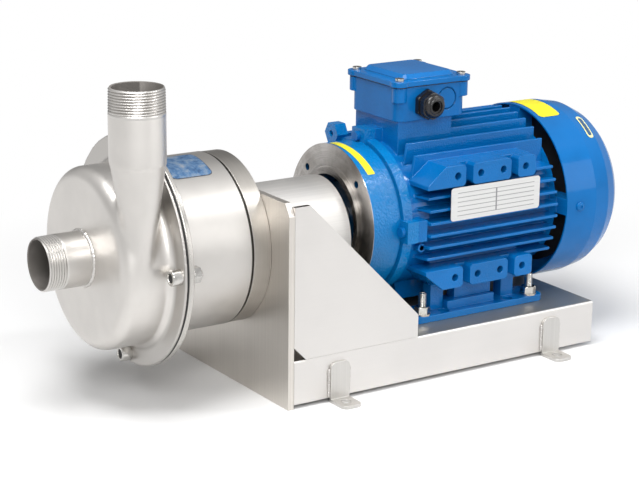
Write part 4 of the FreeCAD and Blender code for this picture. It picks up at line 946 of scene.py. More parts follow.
@dataclass
class Bench:
    """Puts finished pieces on the model."""

    count: int = 0
    body: str = "pump_set"
    weld_gap: float = 0.00001
    flat_angle: float = 0.4
    edge_angle: float = 32.0

    def fit(
        self,
        piece: bpy.types.Object,
        finish: Finish,
        replaces: Sequence[str] = (),
    ) -> None:
        """Dress a new piece and fix it to the standing body.

        Args:
            piece: the new object.
            finish: what it is dressed in.
            replaces: nodes that it stands for.
        """
        piece.data.materials.clear()
        piece.data.materials.append(finish.material())
        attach(piece, self.body)
        if replaces:
            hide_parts(*replaces)
        self.count += 1
        log.info("piece %s with %d faces", piece.name, len(piece.data.polygons))

    def soften(self, node: bpy.types.Object, edge: float) -> None:
        """Round a node's sharp edges, with its flat faces left flat.

        Args:
            node: the node.
            edge: the edges' softness in mm.
        """
        smooth_faces(node.data)
        weld = node.modifiers.new("weld", "WELD")
        weld.merge_threshold = self.weld_gap
        flat = node.modifiers.new("flat", "DECIMATE")
        flat.decimate_type = "DISSOLVE"
        flat.angle_limit = math.radians(self.flat_angle)
        bevel = node.modifiers.new("edge", "BEVEL")
        bevel.width = edge * MM
        bevel.segments = 2
        bevel.limit_method = "ANGLE"
        bevel.angle_limit = math.radians(self.edge_angle)
        bevel.use_clamp_overlap = False
        bevel.face_strength_mode = "FSTR_AFFECTED"
        even = node.modifiers.new("even", "WEIGHTED_NORMAL")
        even.use_face_influence = True

    def dress(self, names: str, finish: Finish, edge: float = 0.0) -> None:
        """Give nodes a finish, and soft edges where they need them.

        Args:
            names: the nodes, with spaces between.
            finish: what they are dressed in.
            edge: the edges' softness in mm, or 0 to leave them.
        """
        for name in names.split():
            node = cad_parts[name]
            for spot in node.material_slots:
                spot.material = finish.material()
            if edge > 0:
                self.soften(node, edge)
            log.info("node %s in %s", name, type(finish).__name__)


@dataclass(frozen=True)
class Crease:
    """Where the throat runs into the casing's dish, and how far its softness fades, in mm."""

    behind: float = 1.5
    behind_fade: float = 4.0
    beside: float = 15.0
    beside_fade: float = 9.0
    heights: tuple[float, float] = (112.0, 128.0)
    beyond: float = 46.0
    beyond_fade: float = 38.0


@dataclass
class PumpEnd:
    """The casing, its pipes, the drum and what holds them."""

    drum_r: float = 77.5
    drum_end: float = -193.0
    label_middle: tuple[float, float] = (-227.0, 103.5)
    label_size: tuple[float, float] = (39.0, 41.0)
    label_corner: float = 4.5
    label_rim: float = 0.7
    face_x: float = -315.7
    mouth_x: float = -356.4
    throat_top: float = 234.0
    throat_lap: float = 6.0
    outlet_top: float = 292.5
    outlet: Spindle = Spindle((-296.2, -67.7, 0.0), Lay.UPRIGHT)
    pipe_r: float = 23.9
    pipe_wall: float = 2.5
    pipe_chamfer: float = 1.5
    bore_shade_reach: float = 1.0
    pitch: float = 2.31
    thread_depth: float = 1.1
    taper: float = 0.35
    inlet_thread: float = 17.0
    outlet_thread: float = 21.5
    outlet_lap: float = 3.0
    weld_r: float = 1.7
    weld_drops: int = 52
    weld_waves: tuple[Point, ...] = ((0.2, 7.0, 1.0), (0.14, 17.0, 0.0), (0.1, 31.0, 0.0))
    flange_x: float = -271.7
    head_high: float = 9.5
    head_r: float = 6.8
    knurls: float = 30.0
    knurl_high: float = 0.1
    stem_r: float = 4.0
    stem_end: float = -251.7
    socket_r: float = 4.2
    socket_floor: float = 4.5
    screw_r: float = 93.0
    screw_turns: tuple[float, ...] = (0.0, 90.0, 180.0, 270.0)
    dish_r: float = 80.0
    crease: Crease = Crease()
    voxel: float = 1.1
    soft_steps: int = 16
    soft_passes: int = 3
    kept_faces: float = 0.35

    def label(self, bench: Bench) -> None:
        """Lay the foil label and its dark rim on the drum.

        Args:
            bench: where they are fitted.
        """
        middle_x, middle_angle = self.label_middle
        for name, lift, grow, finish in (
            ("drum_label_rim", 0.15, self.label_rim, Sticker(tone=(0.07, 0.08, 0.1))),
            ("drum_label", 0.3, 0.0, FoilLabel()),
        ):
            radius = self.drum_r + lift

            def on_drum(u: float, v: float, radius: float = radius) -> Point:
                """Bend a point of the label round the drum."""
                return SHAFT.at(middle_x + u, radius, middle_angle + math.degrees(v / radius))

            size = tuple(side + 2 * grow for side in self.label_size)
            piece = bent_patch(name, on_drum, size, self.label_corner + grow)
            bench.fit(piece, finish)

    def bead(self, degrees: float) -> float:
        """Give the inlet weld's thickness, which swells with each drop.

        Args:
            degrees: the place round the pipe.

        Returns:
            The thickness in mm.
        """
        turns = math.radians(degrees)
        drop = (turns * self.weld_drops / (2 * math.pi) + 0.3 * math.sin(turns * 5)) % 1.0
        wander = sum(high * math.sin(turns * waves + at) for high, waves, at in self.weld_waves)
        return self.weld_r + 0.4 * drop * drop + wander

    def weld(self, bench: Bench) -> None:
        """Run the rippled weld bead round the inlet pipe's root.

        Args:
            bench: where it is fitted.
        """
        columns, rows = 360, 12
        shape = Shape(faces=grid_faces(rows, columns, closed=True, looped=True))
        for i in range(rows):
            turn = 2 * math.pi * i / rows
            for j in range(columns):
                degrees = 360.0 * j / columns
                thick = self.bead(degrees)
                radius = self.pipe_r - 0.1 + thick * math.cos(turn)
                along = self.face_x + 0.2 - 1.25 * thick * math.sin(turn)
                shape.points.append(SHAFT.at(along, radius, degrees))
        bench.fit(shape.mesh("inlet_weld"), BlastedSteel(roughness=0.34, grit=0.15))

    def pipe(
        self, bench: Bench, name: str, spindle: Spindle, mouth: float, root: float, cut: float
    ) -> None:
        """Turn a pipe with a threaded end.

        Args:
            bench: where it is fitted.
            name: the node that it stands for.
            spindle: the pipe's line.
            mouth: the place of its open end in mm.
            root: the place of its other end.
            cut: the length of its thread.
        """
        way = 1.0 if root > mouth else -1.0
        low, high = sorted((mouth, mouth + way * cut))
        thread = Thread(low, high, self.pitch, self.thread_depth)
        outer, inner = self.pipe_r, self.pipe_r - self.pipe_wall
        profile = [(mouth + way * 0.5, inner), (mouth, inner + 0.4)]
        profile.append((mouth, outer - self.pipe_chamfer))
        places = thread.rows() if way > 0 else thread.rows()[::-1]
        for along in places[3:]:
            reach = abs(along - mouth)
            lost = max(self.taper * (1.0 - reach / cut), self.pipe_chamfer - reach)
            profile.append((along, outer - lost))
        profile += [(mouth + way * (cut + beyond), outer + 0.05) for beyond in (0.5, 1.6)]
        profile += [(root, outer - 0.2), (root, inner)]
        shape = spindle.turned(profile, 120, relief=thread.relief)
        middle = tuple(MM * c for c in spindle.foot)
        # The painted shade of the bore reaches this far past the inner wall.
        bore_shade_r = (inner + self.bore_shade_reach) * MM
        steel = PipeSteel(middle, spindle.lay is Lay.UPRIGHT, bore_shade_r)
        bench.fit(shape.mesh(f"{name}_threaded", 50.0), steel, replaces=[name])

    def cap_screws(self, bench: Bench) -> None:
        """Turn the casing's four cap screws, with a dark disc of painted shade in each socket.

        Args:
            bench: where they are fitted.
        """
        heads, sockets = Shape(), Shape()
        seat, end = self.flange_x, self.stem_end
        top, floor = seat - self.head_high, seat - self.socket_floor
        profile = [(end, 0.0), (end, self.stem_r - 0.5), (end - 0.6, self.stem_r)]
        profile += [(seat, self.stem_r), (seat, self.head_r), (top + 0.9, self.head_r)]
        profile += [(top + 0.3, self.head_r - 0.25), (top, self.head_r - 0.8)]
        profile += [(top, self.socket_r + 0.2), (top + 0.3, self.socket_r)]
        profile += [(floor, self.socket_r), (floor, 0.0)]
        # Painted shade: a near black disc just inside each socket.
        shade_disc = [(top + 1.0, self.socket_r), (top + 1.3, 0.0)]
        for degrees in self.screw_turns:
            _, y, z = (c / MM for c in SHAFT.at(0.0, self.screw_r, degrees))
            line = Spindle((0.0, y, z))
            heads += line.turned(profile, 60, closed=False, relief=self.knurl)
            sockets += line.turned(shade_disc, 6, closed=False)
        bright = Zinc(tone=(0.6, 0.585, 0.56))
        bench.fit(heads.mesh("cap_screws", 40.0), bright, replaces=["casing_screws"])
        dark = Moulded(tone=(0.012, 0.012, 0.012), roughness=0.6)
        bench.fit(sockets.mesh("cap_socket_shades"), dark)

    def knurl(self, along: float, radius: float, degrees: float) -> float:
        """Roll fine ribs into a cap screw's head.

        Args:
            along: the place in mm.
            radius: the plain radius in mm.
            degrees: the angle.

        Returns:
            The radius with the ribs.
        """
        if radius > self.head_r - 0.1 and along > self.flange_x - self.head_high + 1.0:
            return radius + self.knurl_high * math.cos(math.radians(degrees * self.knurls))
        return radius

    def with_throat(self) -> bpy.types.Mesh:
        """Put the casing's solid and a plain length of its outlet in one mesh.

        Returns:
            The mesh, still with its creases.
        """
        whole = bmesh.new()
        whole.from_mesh(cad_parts["volute_casing"].data)
        outer, inner = self.pipe_r, self.pipe_r - self.pipe_wall
        low, high = self.throat_top - self.throat_lap, self.outlet_top - self.outlet_thread
        tube = self.outlet.turned([(low, inner), (low, outer), (high, outer), (high, inner)], 160)
        plain = tube.mesh("outlet_plain")
        whole.from_mesh(plain.data)
        bpy.data.objects.remove(plain)
        mesh = bpy.data.meshes.new("casing_melt")
        whole.to_mesh(mesh)
        whole.free()
        return mesh

    def melted(self) -> bpy.types.Mesh:
        """Melt the casing and its throat into one skin of even faces.

        Returns:
            The skin.
        """
        melt = bpy.data.objects.new("casing_melt", self.with_throat())
        bpy.context.scene.collection.objects.link(melt)
        remesh = melt.modifiers.new("melt", "REMESH")
        remesh.mode = "VOXEL"
        remesh.voxel_size = self.voxel * MM
        graph = bpy.context.evaluated_depsgraph_get()
        mesh = bpy.data.meshes.new_from_object(melt.evaluated_get(graph))
        bpy.data.objects.remove(melt)
        return mesh

    def casing(self, bench: Bench) -> None:
        """Draw the casing's dish, flange and throat as one pressed and welded skin.

        Args:
            bench: where it is fitted.
        """
        mesh = self.melted()
        work = bmesh.new()
        work.from_mesh(mesh)
        held = [(self.soft(vertex.co / MM), vertex) for vertex in work.verts]
        axes = {f"use_axis_{axis}": True for axis in "xyz"}
        for step in range(-1, self.soft_steps):
            chosen = [vertex for amount, vertex in held if amount > step / self.soft_steps]
            for _ in range(self.soft_passes):
                bmesh.ops.smooth_vert(work, verts=chosen, factor=0.5, **axes)
        work.to_mesh(mesh)
        work.free()
        smooth_faces(mesh)
        piece = bpy.data.objects.new("casing_skin", mesh)
        bpy.context.scene.collection.objects.link(piece)
        thin = piece.modifiers.new("thin", "DECIMATE")
        thin.ratio = self.kept_faces
        # The flange behind the dish is painted darker, as painted shade.
        steel = BlastedSteel(tone=(0.705, 0.68, 0.65), painted_shade_from=(self.flange_x - 0.5) * MM)
        bench.fit(piece, steel, replaces=["volute_casing"])

    def soft(self, spot: Vector) -> float:
        """Say how much a point is smoothed where the throat runs into the dish.

        Args:
            spot: the point in mm.

        Returns:
            A share from 0 to 1, fading away from the crease.
        """
        x, y, _ = self.outlet.foot
        crease = self.crease
        beside = math.hypot(spot.x - x, spot.y - y)
        reach = math.hypot(spot.y, spot.z - SHAFT_Z / MM)
        share = ramp(self.flange_x - crease.behind - spot.x, 0.0, crease.behind_fade)
        share *= ramp(self.pipe_r + crease.beside - beside, 0.0, crease.beside_fade)
        share *= ramp(spot.z, *crease.heights)
        return share * ramp(self.dish_r + crease.beyond - reach, 0.0, crease.beyond_fade)

    def build(self, bench: Bench) -> None:
        """Dress the pump's end.

        Args:
            bench: where its pieces are fitted.
        """
        self.casing(bench)
        self.pipe(bench, "inlet_pipe", SHAFT, self.mouth_x, self.face_x, self.inlet_thread)
        top, cut = self.outlet_top, self.outlet_thread
        self.pipe(bench, "outlet_pipe", self.outlet, top, top - cut - self.outlet_lap, cut)
        # The drum's rear end is painted near black, a painted shadow of the gap before the bearing
        # bracket.
        drum = BlastedSteel(tone=(0.585, 0.565, 0.54), dark_from=self.drum_end * MM)
        bench.dress("lantern_drum", drum)
        bench.dress("rear_cover", TurnedSteel(), 0.5)
        bench.dress("bearing_bracket", TurnedSteel(tone=(0.5, 0.475, 0.44), roughness=0.36), 0.5)
        bench.dress("casing_gasket", Moulded(tone=(0.012, 0.012, 0.012), roughness=0.45))
        # The casing nuts take a darker zinc, as painted shade behind the flange.
        bench.dress("casing_nuts", Zinc(tone=(0.5, 0.49, 0.47)), 0.25)
        bench.dress("bracket_screws", Zinc(), 0.25)
        self.cap_screws(bench)
        self.label(bench)
        self.weld(bench)


@dataclass
class BaseFrame:
    """The bent base, the upright plate, the gussets, the lugs and the guard."""

    sheet_edge: float = 0.5
    channel_x: tuple[float, float] = (-166.5, 172.5)
    gusset_x: tuple[float, float] = (-154.5, -34.5)
    half: float = 105.0
    height: float = 44.0
    lift: float = 4.0
    sheet: float = 5.0
    bend: float = 2.2
    inner_bend: float = 1.0
    bend_steps: int = 6
    lug_x: float = 120.0
    lug_half: float = 10.0
    weld_z: tuple[float, float] = (5.0, 31.0)
    weld_r: float = 1.4
    weld_step: float = 0.4
    weld_drop: float = 1.9
    # Its top colour is painted shade on faces that look up, darker still near the front plate.
    side: Finish = BrushedSteel(
        tone=(0.675, 0.655, 0.635),
        roughness=0.47,
        depth=0.008,
        streak=0.25,
        deepest=0.95,
        top=(0.4725, 0.444745, 0.39116),
    )

    def bar(self, outline: Profile, span: tuple[float, float]) -> Shape:
        """Draw an outline across the shaft out into a bar.

        Args:
            outline: corners as places on Y and Z in mm.
            span: the bar's two ends on X.

        Returns:
            The bar, with its ends closed.
        """
        count = len(outline)
        points = [tuple(MM * c for c in (x, y, z)) for x in span for y, z in outline]
        faces = grid_faces(2, count, closed=True)
        faces += [tuple(range(count)), tuple(range(count, 2 * count))]
        return Shape(points, faces)

    def channel(self, bench: Bench) -> None:
        """Bend the channel with tight corners, ground flush under the gussets.

        Args:
            bench: where it is fitted.
        """
        half, top, bend, tight = self.half, self.height, self.bend, self.inner_bend
        wall, roof = half - self.sheet, top - self.sheet
        outer = quarter((half - bend, top - bend), bend, self.bend_steps)
        inner = quarter((wall - tight, roof - tight), tight, self.bend_steps)
        near_side = [(half, self.lift)] + outer
        far_side = [(-y, z) for y, z in reversed(near_side)]
        inside = [(-wall, self.lift)] + [(-y, z) for y, z in inner]
        inside += inner[::-1] + [(wall, self.lift)]
        shape = self.bar(near_side + far_side + inside, self.channel_x)
        piece = shape.mesh("bent_channel", 30.0)
        bench.fit(piece, self.side, replaces=["base_channel"])
        corner = ((half, top), (half, top - bend), (half - bend, top))
        fillers = Shape()
        for way in (-1, 1):
            fillers += self.bar([(way * y, z) for y, z in corner], self.gusset_x)
        bench.fit(fillers.mesh("gusset_welds", 30.0), self.side)

    def ripple(self, along: float, radius: float, degrees: float) -> float:
        """Swell a weld bead where each drop of it ends.

        Args:
            along: the place in mm.
            radius: the plain radius in mm.
            degrees: the angle, all round alike.

        Returns:
            The radius with its ripple.
        """
        drop = (along / self.weld_drop) % 1.0
        wander = 0.2 * math.sin(along * 1.3) * math.sin(along * 0.37 + 1)
        return radius * (0.9 + 0.12 * drop * drop + wander)

    def lug_welds(self, bench: Bench) -> None:
        """Run the beads down both sides of the four lugs.

        Args:
            bench: where they are fitted.
        """
        low, high = self.weld_z
        step, thin = self.weld_step, self.weld_r * 0.8
        profile = [(low, 0.0), (low + step, thin)]
        profile += [(low + 1 + step * i, self.weld_r) for i in range(int((high - low - 2) / step))]
        profile += [(high - step, thin), (high, 0.0)]
        beads = Shape()
        for x in (-self.lug_x, self.lug_x):
            for side in (-1, 1):
                beside = x + side * (self.lug_half + 0.5)
                for way in (-1, 1):
                    line = Spindle((beside, way * (self.half + 0.6), 0.0), Lay.UPRIGHT)
                    beads += line.turned(profile, 14, closed=False, relief=self.ripple)
        bench.fit(beads.mesh("lug_welds"), BlastedSteel(tone=(0.6, 0.58, 0.56)))

    def build(self, bench: Bench) -> None:
        """Dress the sheet parts.

        Args:
            bench: where its pieces are fitted.
        """
        self.channel(bench)
        warm = BrushedSteel(tone=(0.68, 0.645, 0.6), grain=Grain.UPRIGHT, depth=0.03)
        bench.dress("front_plate", warm, self.sheet_edge)
        bench.dress("gusset_near gusset_far", self.side, 0.25)
        bench.dress("base_lugs", BrushedSteel(tone=(0.6, 0.585, 0.56), grain=Grain.UPRIGHT), 0.35)
        self.lug_welds(bench)
        matt = BrushedSteel(tone=(0.63, 0.615, 0.595), roughness=0.54, depth=0.02)
        bench.dress("coupling_guard", matt)
        bench.dress("guard_screws", Zinc(), 0.2)


@dataclass(frozen=True)
class MotorSticker:
    """Where a blank sticker lies round the motor, in mm and degrees."""

    name: str
    span: tuple[float, float]
    turn: tuple[float, float]
    corner: float
    finish: Sticker = Sticker()
    lift: float = 0.3
    slant: float = 0.0


@dataclass
class Motor:
    """The motor's shields, frame, cowl, feet and stickers."""

    face_x: float = -60.5
    face_turned: float = 0.4
    recess_r: float = 38.5
    shield_r: float = 70.0
    cowl_x: float = 151.5
    cowl_profile: tuple[tuple[float, float], ...] = ((187.5, 86.0), (205.5, 83.0), (218.0, 76.8))
    stickers: tuple[MotorSticker, ...] = (
        MotorSticker("shield_sticker", (-56.5, -48.5), (85.0, 134.0), 0.6, slant=6.0),
        MotorSticker("cowl_sticker", (156.0, 181.0), (80.0, 114.5), 4.0),
        MotorSticker(
            "rear_sticker", (196.0, 204.0), (117.0, 136.0), 3.4, Sticker(tone=(0.85, 0.84, 0.45))
        ),
        MotorSticker(
            "rear_sticker_field",
            (197.6, 202.4),
            (118.8, 134.2),
            2.2,
            Sticker(tone=(0.03, 0.09, 0.2)),
            lift=0.5,
        ),
    )
    stud_x: tuple[float, float] = (-4.5, 120.5)
    stud_y: float = 70.0
    stud_z: tuple[float, float] = (31.0, 72.5)
    stud_r: float = 4.0
    pitch: float = 1.25
    thread_depth: float = 0.6
    nut_z: tuple[float, float, float] = (50.5, 52.1, 58.6)
    nut_flats: float = 13.0
    nut_chamfer: float = 1.1
    washer_r: float = 8.0
    cowl_screw_x: float = 167.0
    cowl_screw_reach: tuple[float, float] = (77.0, 86.0)
    cast: Finish = Paint(skin=0.9, grain=560.0, roughness=0.13, coat=0.35)
    smooth: Finish = Paint(skin=0.12, grain=260.0, roughness=0.2)

    def skin_radius(self, along: float) -> float:
        """Give the radius of the shield or the cowl at a place on the shaft's line.

        Args:
            along: the place in mm.

        Returns:
            The outer radius in mm.
        """
        (x0, r0), (x1, r1), (x2, r2) = self.cowl_profile
        if along < self.cowl_x:
            return self.shield_r
        if along <= x0:
            return r0
        if along <= x1:
            return r0 + (r1 - r0) * (along - x0) / (x1 - x0)
        return r1 + (r2 - r1) * (along - x1) / (x2 - x1)

    def stick(self, bench: Bench, sticker: MotorSticker) -> None:
        """Stick a blank sticker round the motor.

        Args:
            bench: where it is fitted.
            sticker: the sticker.
        """
        middle_x, middle_turn = sum(sticker.span) / 2, sum(sticker.turn) / 2
        angle = sticker.turn[1] - sticker.turn[0]
        across = math.radians(angle) * self.skin_radius(middle_x)

        def surface(u: float, v: float) -> Point:
            """Bend a point of the sticker round the motor.

            Args:
                u: its place along the shaft from the sticker's middle, in mm.
                v: its place round the motor.

            Returns:
                The point in metres.
            """
            along = middle_x + u + sticker.slant * v / across
            reach = self.skin_radius(along) + sticker.lift
            return SHAFT.at(along, reach, middle_turn + angle * v / across)

        size = (sticker.span[1] - sticker.span[0], across)
        piece = bent_patch(sticker.name, surface, size, sticker.corner, (60, 24))
        bench.fit(piece, sticker.finish)

    def cowl_screws(self, bench: Bench) -> None:
        """Turn the cowl's screws that show; the sticker lies over the top one's place.

        Args:
            bench: where they are fitted.
        """
        low, seat = self.cowl_screw_reach
        profile = [(low, 0.0), (low, 2.0), (seat, 2.0), (seat, 4.5), (seat + 1.2, 4.45)]
        profile += [(seat + 2.0, 3.8), (seat + 2.5, 2.6), (seat + 2.6, 1.7)]
        profile += [(seat + 1.7, 1.4), (seat + 1.7, 0.0)]
        near = [(-along, radius) for along, radius in profile]
        below = [(SHAFT_Z / MM - along, radius) for along, radius in profile]
        side = Spindle((self.cowl_screw_x, 0.0, SHAFT_Z / MM), Lay.ACROSS)
        under = Spindle((self.cowl_screw_x, 0.0, 0.0), Lay.UPRIGHT)
        screws = side.turned(near, 32, closed=False) + side.turned(profile, 32, closed=False)
        screws += under.turned(below, 32, closed=False)
        piece = screws.mesh("cowl_heads", 40.0)
        bench.fit(piece, self.smooth, replaces=["cowl_screws"])

    def studs(self, bench: Bench) -> None:
        """Turn the four studs and their nuts with washers.

        Args:
            bench: where they are fitted.
        """
        low, high = self.stud_z
        thread = Thread(low, high + self.pitch, self.pitch, self.thread_depth)
        grip, seat, top = self.nut_z
        flats, bore = self.nut_flats, self.stud_r + 0.1
        corner = flats / math.sqrt(3)

        def chamfer(along: float) -> float:
            """Round the nut's corners off towards its top."""
            return corner - max(0.0, along - top + self.nut_chamfer) * 0.9

        places = [along for along in thread.rows() if along <= high - 0.1]
        profile = [(low, 0.0), (low, self.stud_r - 0.6)]
        profile += [(along, min(self.stud_r, self.stud_r - 1.0 + high - along)) for along in places]
        profile += [(high, self.stud_r - 1.1), (high, 0.0)]
        rows = [seat, top - self.nut_chamfer, top - 0.7, top - 0.35, top]
        nut = [(seat, bore)] + [(along, corner) for along in rows]
        nut += [(top, flats / 2 - 0.3), (top, bore)]
        washer = [(grip, bore), (grip, self.washer_r), (seat, self.washer_r), (seat, bore)]
        bars, nuts = Shape(), Shape()
        for x in self.stud_x:
            for y in (-self.stud_y, self.stud_y):
                line = Spindle((x, y, 0.0), Lay.UPRIGHT)
                bars += line.turned(profile, 32, closed=False, relief=thread.relief)
                nuts += line.turned(nut, 48, relief=hexagon(flats, chamfer))
                nuts += line.turned(washer, 48)
        bench.fit(bars.mesh("threaded_studs", 60.0), Zinc(), replaces=["foot_studs"])
        bench.fit(nuts.mesh("stud_nuts", 35.0), Zinc(), replaces=["foot_nuts"])

    def build(self, bench: Bench) -> None:
        """Dress the motor's outside.

        Args:
            bench: where its pieces are fitted.
        """
        # Painted light: the front shield's tone is a lighter, more cyan copy of the motor's blue.
        flange = Paint(
            skin=1.6,
            grain=430.0,
            roughness=0.08,
            bare_below=(self.face_x + self.face_turned) * MM,
            recess_r=self.recess_r * MM,
            coat=0.0,
            gloss=0.34,
            tone=(0.0015, 0.19, 0.51),
        )
        bench.dress("front_shield", flange)
        bench.dress("motor_frame rear_shield", self.cast, 0.7)
        bench.dress("fan_cowl", self.smooth)
        bench.dress("foot_near foot_far", self.cast, 0.8)
        bench.dress("tie_screws", Paint(skin=0.2, roughness=0.3), 0.2)
        bench.dress("foot_bolts weld_nuts", Zinc(), 0.2)
        bench.dress("rating_plate", BlankPlate(), 0.2)
        self.cowl_screws(bench)
        for sticker in self.stickers:
            self.stick(bench, sticker)
        self.studs(bench)


@dataclass
class TerminalBox:
    """The box on top, its lid and the cable gland."""

    gland: Spindle = Spindle((17.2, 0.0, 240.5), Lay.ACROSS)
    wall_y: float = -38.6
    neck: tuple[float, float] = (-30.6, 9.5)
    base_flats: float = 25.0
    base_high: float = 5.0
    nut_flats: float = 23.0
    nut_high: float = 7.0
    dome_high: float = 5.0
    dome_steps: int = 8
    crown_r: float = 7.5
    hole_r: float = 4.5
    ribs: float = 30.0
    rib_high: float = 0.22
    paint: Finish = Paint(skin=0.3, grain=380.0, roughness=0.22, coat=0.25)
    black: Finish = Moulded(tone=(0.011, 0.01, 0.011), roughness=0.24, skin=0.05)

    def gland_base(self, bench: Bench) -> None:
        """Turn the gland's hexagon base and its neck.

        Args:
            bench: where it is fitted.
        """
        wall, flats = self.wall_y, self.base_flats
        seat = wall - self.base_high
        corner = flats / math.sqrt(3)

        def chamfer(along: float) -> float:
            """Cut the hexagon's corners at both ends."""
            return corner - max(0.0, seat + 1.2 - along) - max(0.0, along - wall + 0.6)

        profile = [(self.neck[0], self.hole_r), self.neck, (wall, self.neck[1])]
        profile += [(along, corner) for along in (wall, wall - 0.6, seat + 1.2, seat + 0.6, seat)]
        profile += [(seat, self.nut_flats / 2 - 0.6), (seat, self.hole_r)]
        base = self.gland.turned(profile, 96, relief=hexagon(flats, chamfer))
        piece = base.mesh("gland_base", 38.0)
        bench.fit(piece, self.black, replaces=["cable_gland"])

    def gland_cap(self, bench: Bench) -> None:
        """Turn the gland's ribbed and domed nut.

        Args:
            bench: where it is fitted.
        """
        seat = self.wall_y - self.base_high
        rim = seat - self.nut_high
        end = rim - self.dome_high
        crown, hole, outer = self.crown_r, self.hole_r, self.nut_flats / math.sqrt(3)
        profile = [(seat, hole), (seat, outer - 0.9), (seat - 0.8, outer)]
        profile += [(rim + 1.0, outer), (rim + 0.2, outer - 0.5)]
        for i in range(self.dome_steps + 1):
            turn = math.pi / 2 * i / self.dome_steps
            reach = crown + (self.nut_flats / 2 - 0.4 - crown) * math.cos(turn)
            profile.append((rim - (self.dome_high - 0.8) * math.sin(turn), reach))
        profile += [(end + 0.3, crown - 0.2), (end, crown - 0.7), (end, crown - 1.5)]
        profile += [(end + 1.3, crown - 1.9), (end + 1.3, hole + 0.3), (end + 1.6, hole)]

        def ribbed(along: float, radius: float, degrees: float) -> float:
            """Cut the nut to its six flats and fine grip ribs.

            Args:
                along: the place in mm.
                radius: the plain radius in mm.
                degrees: the angle.

            Returns:
                The cut radius.
            """
            if radius < self.nut_flats / 2 or along < rim:
                return radius
            rib = self.rib_high * math.cos(math.radians(degrees * self.ribs))
            flat = min(radius, flat_reach(self.nut_flats, degrees), outer - 0.8)
            return flat + (rib if seat - along > 0.7 else 0.0)

        nut = self.gland.turned(profile, 240, relief=ribbed)
        piece = nut.mesh("gland_cap", 42.0)
        bench.fit(piece, self.black, replaces=["gland_nut"])

    def build(self, bench: Bench) -> None:
        """Dress the box.

        Args:
            bench: where its pieces are fitted.
        """
        bench.dress("terminal_box terminal_lid", self.paint, 0.7)
        bench.dress("box_gasket", Moulded())
        bench.dress("lid_screws", Zinc(), 0.2)
        bench.dress("terminal_block", Moulded(tone=(0.02, 0.02, 0.022)))
        self.gland_base(bench)
        self.gland_cap(bench)


@dataclass
class Inside:
    """The parts that a closed pump hides."""

    groups: tuple[tuple[str, Finish], ...] = (
        ("pump_shaft motor_shaft pump_key motor_key", TurnedSteel()),
        ("pump_hub motor_hub impeller_nut", TurnedSteel()),
        ("pump_bearing_outers pump_bearing_inners", TurnedSteel(roughness=0.2)),
        ("motor_bearing_outers motor_bearing_inners", TurnedSteel(roughness=0.2)),
        ("pump_bearing_cages motor_bearing_cages", TurnedSteel(tone=(0.5, 0.49, 0.46))),
        ("impeller", BlastedSteel(roughness=0.36)),
        ("stator_core rotor_core", Moulded((0.3, 0.3, 0.31), 0.5, 0.2, 500.0, 1.0)),
        ("stator_winding", Moulded((0.6, 0.28, 0.14), 0.4, 0.4, 350.0, 0.9)),
        ("seal_bellows lip_seals", Moulded()),
        ("coupling_spider", Moulded(tone=(0.45, 0.05, 0.03), roughness=0.45)),
        ("seal_seat seal_face", Moulded((0.62, 0.6, 0.55), 0.25, 0.04, 500.0)),
        ("motor_fan", Moulded(tone=(0.02, 0.02, 0.022), roughness=0.45)),
    )

    def build(self, bench: Bench) -> None:
        """Dress the hidden parts."""
        for names, finish in self.groups:
            bench.dress(names, finish)


@dataclass(frozen=True)
class Lamp:
    """One soft square lamp, with its places and its side in metres."""

    name: str
    place: Point
    target: Point
    side: float
    watts: float

    def hang(self) -> None:
        """Put the lamp in the studio."""
        data = bpy.data.lights.new(self.name, "AREA")
        data.shape = "SQUARE"
        data.size = self.side
        data.energy = self.watts
        made = bpy.data.objects.new(self.name, data)
        made.location = self.place
        aim = Vector(self.target) - Vector(self.place)
        made.rotation_euler = aim.to_track_quat("-Z", "Y").to_euler()
        bpy.context.scene.collection.objects.link(made)


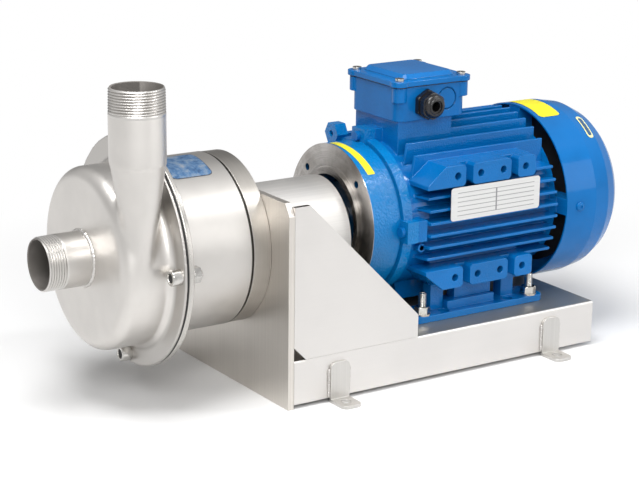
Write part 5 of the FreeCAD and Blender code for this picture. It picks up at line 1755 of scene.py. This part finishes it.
@dataclass
class Studio:
    """The floor, the lamps, the sky and the camera."""

    lamps: tuple[Lamp, ...] = (
        Lamp("top", (-0.55, -0.3, 1.8), (-0.15, 0.0, 0.1), 0.9, 24.0),
        Lamp("key", (-1.0, -1.6, 1.25), (-0.05, 0.0, 0.1), 0.75, 16.5),
        Lamp("fill", (1.2, -1.6, 0.7), (0.0, 0.0, 0.1), 1.0, 7.0),
        Lamp("spark", (0.85, -0.7, 1.4), (0.05, 0.0, 0.15), 0.22, 5.5),
    )
    focal_px: float = 1915.71
    width_px: int = 639
    centre_px: tuple[float, float] = (0.71, 1.70)
    place_mm: Point = (-1010.33, -1425.23, 593.24)
    azimuth: float = -33.362
    elevation: float = 15.718
    roll: float = 0.658
    sensor_mm: float = 36.0
    sight_m: float = 50.0
    floor_half: float = 6.0
    floor_fade: tuple[float, float] = (0.36, 0.64)
    sky_level: float = 0.38

    def camera(self) -> None:
        """Set the camera where the photograph was taken."""
        a, e, r = (math.radians(v) for v in (self.azimuth, self.elevation, self.roll))
        back = Vector((math.sin(a) * math.cos(e), -math.cos(a) * math.cos(e), math.sin(e)))
        right = Vector((math.cos(a), math.sin(a), 0.0))
        up = back.cross(right)
        turned_right = right * math.cos(r) + up * math.sin(r)
        turned_up = up * math.cos(r) - right * math.sin(r)
        data = bpy.data.cameras.new("camera")
        data.sensor_width = self.sensor_mm
        data.lens = self.focal_px / self.width_px * self.sensor_mm
        data.shift_x = -self.centre_px[0] / self.width_px
        data.shift_y = self.centre_px[1] / self.width_px
        data.clip_end = self.sight_m
        made = bpy.data.objects.new("camera", data)
        aim = Matrix((turned_right, turned_up, back)).transposed().to_4x4()
        made.matrix_world = Matrix.Translation(Vector(self.place_mm) * MM) @ aim
        bpy.context.scene.collection.objects.link(made)
        bpy.context.scene.camera = made

    def floor(self) -> None:
        """Lay the pale floor."""
        half = self.floor_half
        corners = [(-half, -half, 0), (half, -half, 0), (half, half, 0), (-half, half, 0)]
        made = build_mesh("floor", corners, [(0, 1, 2, 3)])
        material = bpy.data.materials.new("floor")
        material.use_nodes = True
        graph = Graph(material.node_tree)
        x, y, _ = graph.parts(graph.place())
        far = ((x * x + y * y) ** 0.5).step(*self.floor_fade)
        diffuse = graph.node("ShaderNodeBsdfDiffuse", {}, {0: (0.86, 0.86, 0.86)})
        glow = graph.node("ShaderNodeEmission", {}, {0: (1.0, 1.0, 1.0), 1: 1.0})
        seen = graph.node("ShaderNodeMixShader", {}, {0: far, 1: diffuse, 2: glow})
        graph.node("ShaderNodeOutputMaterial", {}, {0: seen})
        made.data.materials.append(material)
        made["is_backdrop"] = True

    def sky(self) -> None:
        """Light the room evenly and show white behind."""
        world = bpy.data.worlds.new("sky")
        bpy.context.scene.world = world
        world.use_nodes = True
        graph = Graph(world.node_tree)
        camera = graph.node("ShaderNodeLightPath", output="Is Camera Ray")
        glossy = camera.sister("Is Glossy Ray")
        through = camera.sister("Is Transmission Ray")
        x, y, z = graph.parts(graph.node("ShaderNodeTexCoord", output="Generated"))
        mirrored = (glossy + through).held()
        right_front = (x * 0.55 - y * 0.83).step(-0.35, 0.5)
        behind_lens = (z * 0.27 - x * 0.51 - y * 0.77).step(0.78, 0.97)
        left = x.step(-0.5, 0.3, 1.0, 0.0)
        overhead = z.step(0.35, 0.95)
        room = (0.2 + right_front * 0.6 + left * 0.45 + overhead * 0.22 - behind_lens * 0.25).held()
        level = camera + (1 - camera) * (mirrored * room + (1 - mirrored) * self.sky_level)
        lit = graph.node("ShaderNodeBackground", {}, {0: (1.0, 1.0, 1.0), 1: level})
        graph.node("ShaderNodeOutputWorld", {}, {0: lit})

    def build(self) -> None:
        """Set up the studio."""
        self.floor()
        self.sky()
        for lamp in self.lamps:
            lamp.hang()
        self.camera()
        bpy.context.scene.view_settings.view_transform = "Standard"


def main() -> None:
    """Build every part in order."""
    logging.basicConfig(level=logging.INFO, format="%(name)s: %(message)s")
    bench = Bench()
    for part in (PumpEnd(), BaseFrame(), Motor(), TerminalBox(), Inside()):
        part.build(bench)
    Studio().build()
    log.info("%d pieces", bench.count)
    boxes = (cad_box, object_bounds())
    [[list(map(float, corner)) for corner in box] for box in boxes]


if __name__ == "__main__":
    main()
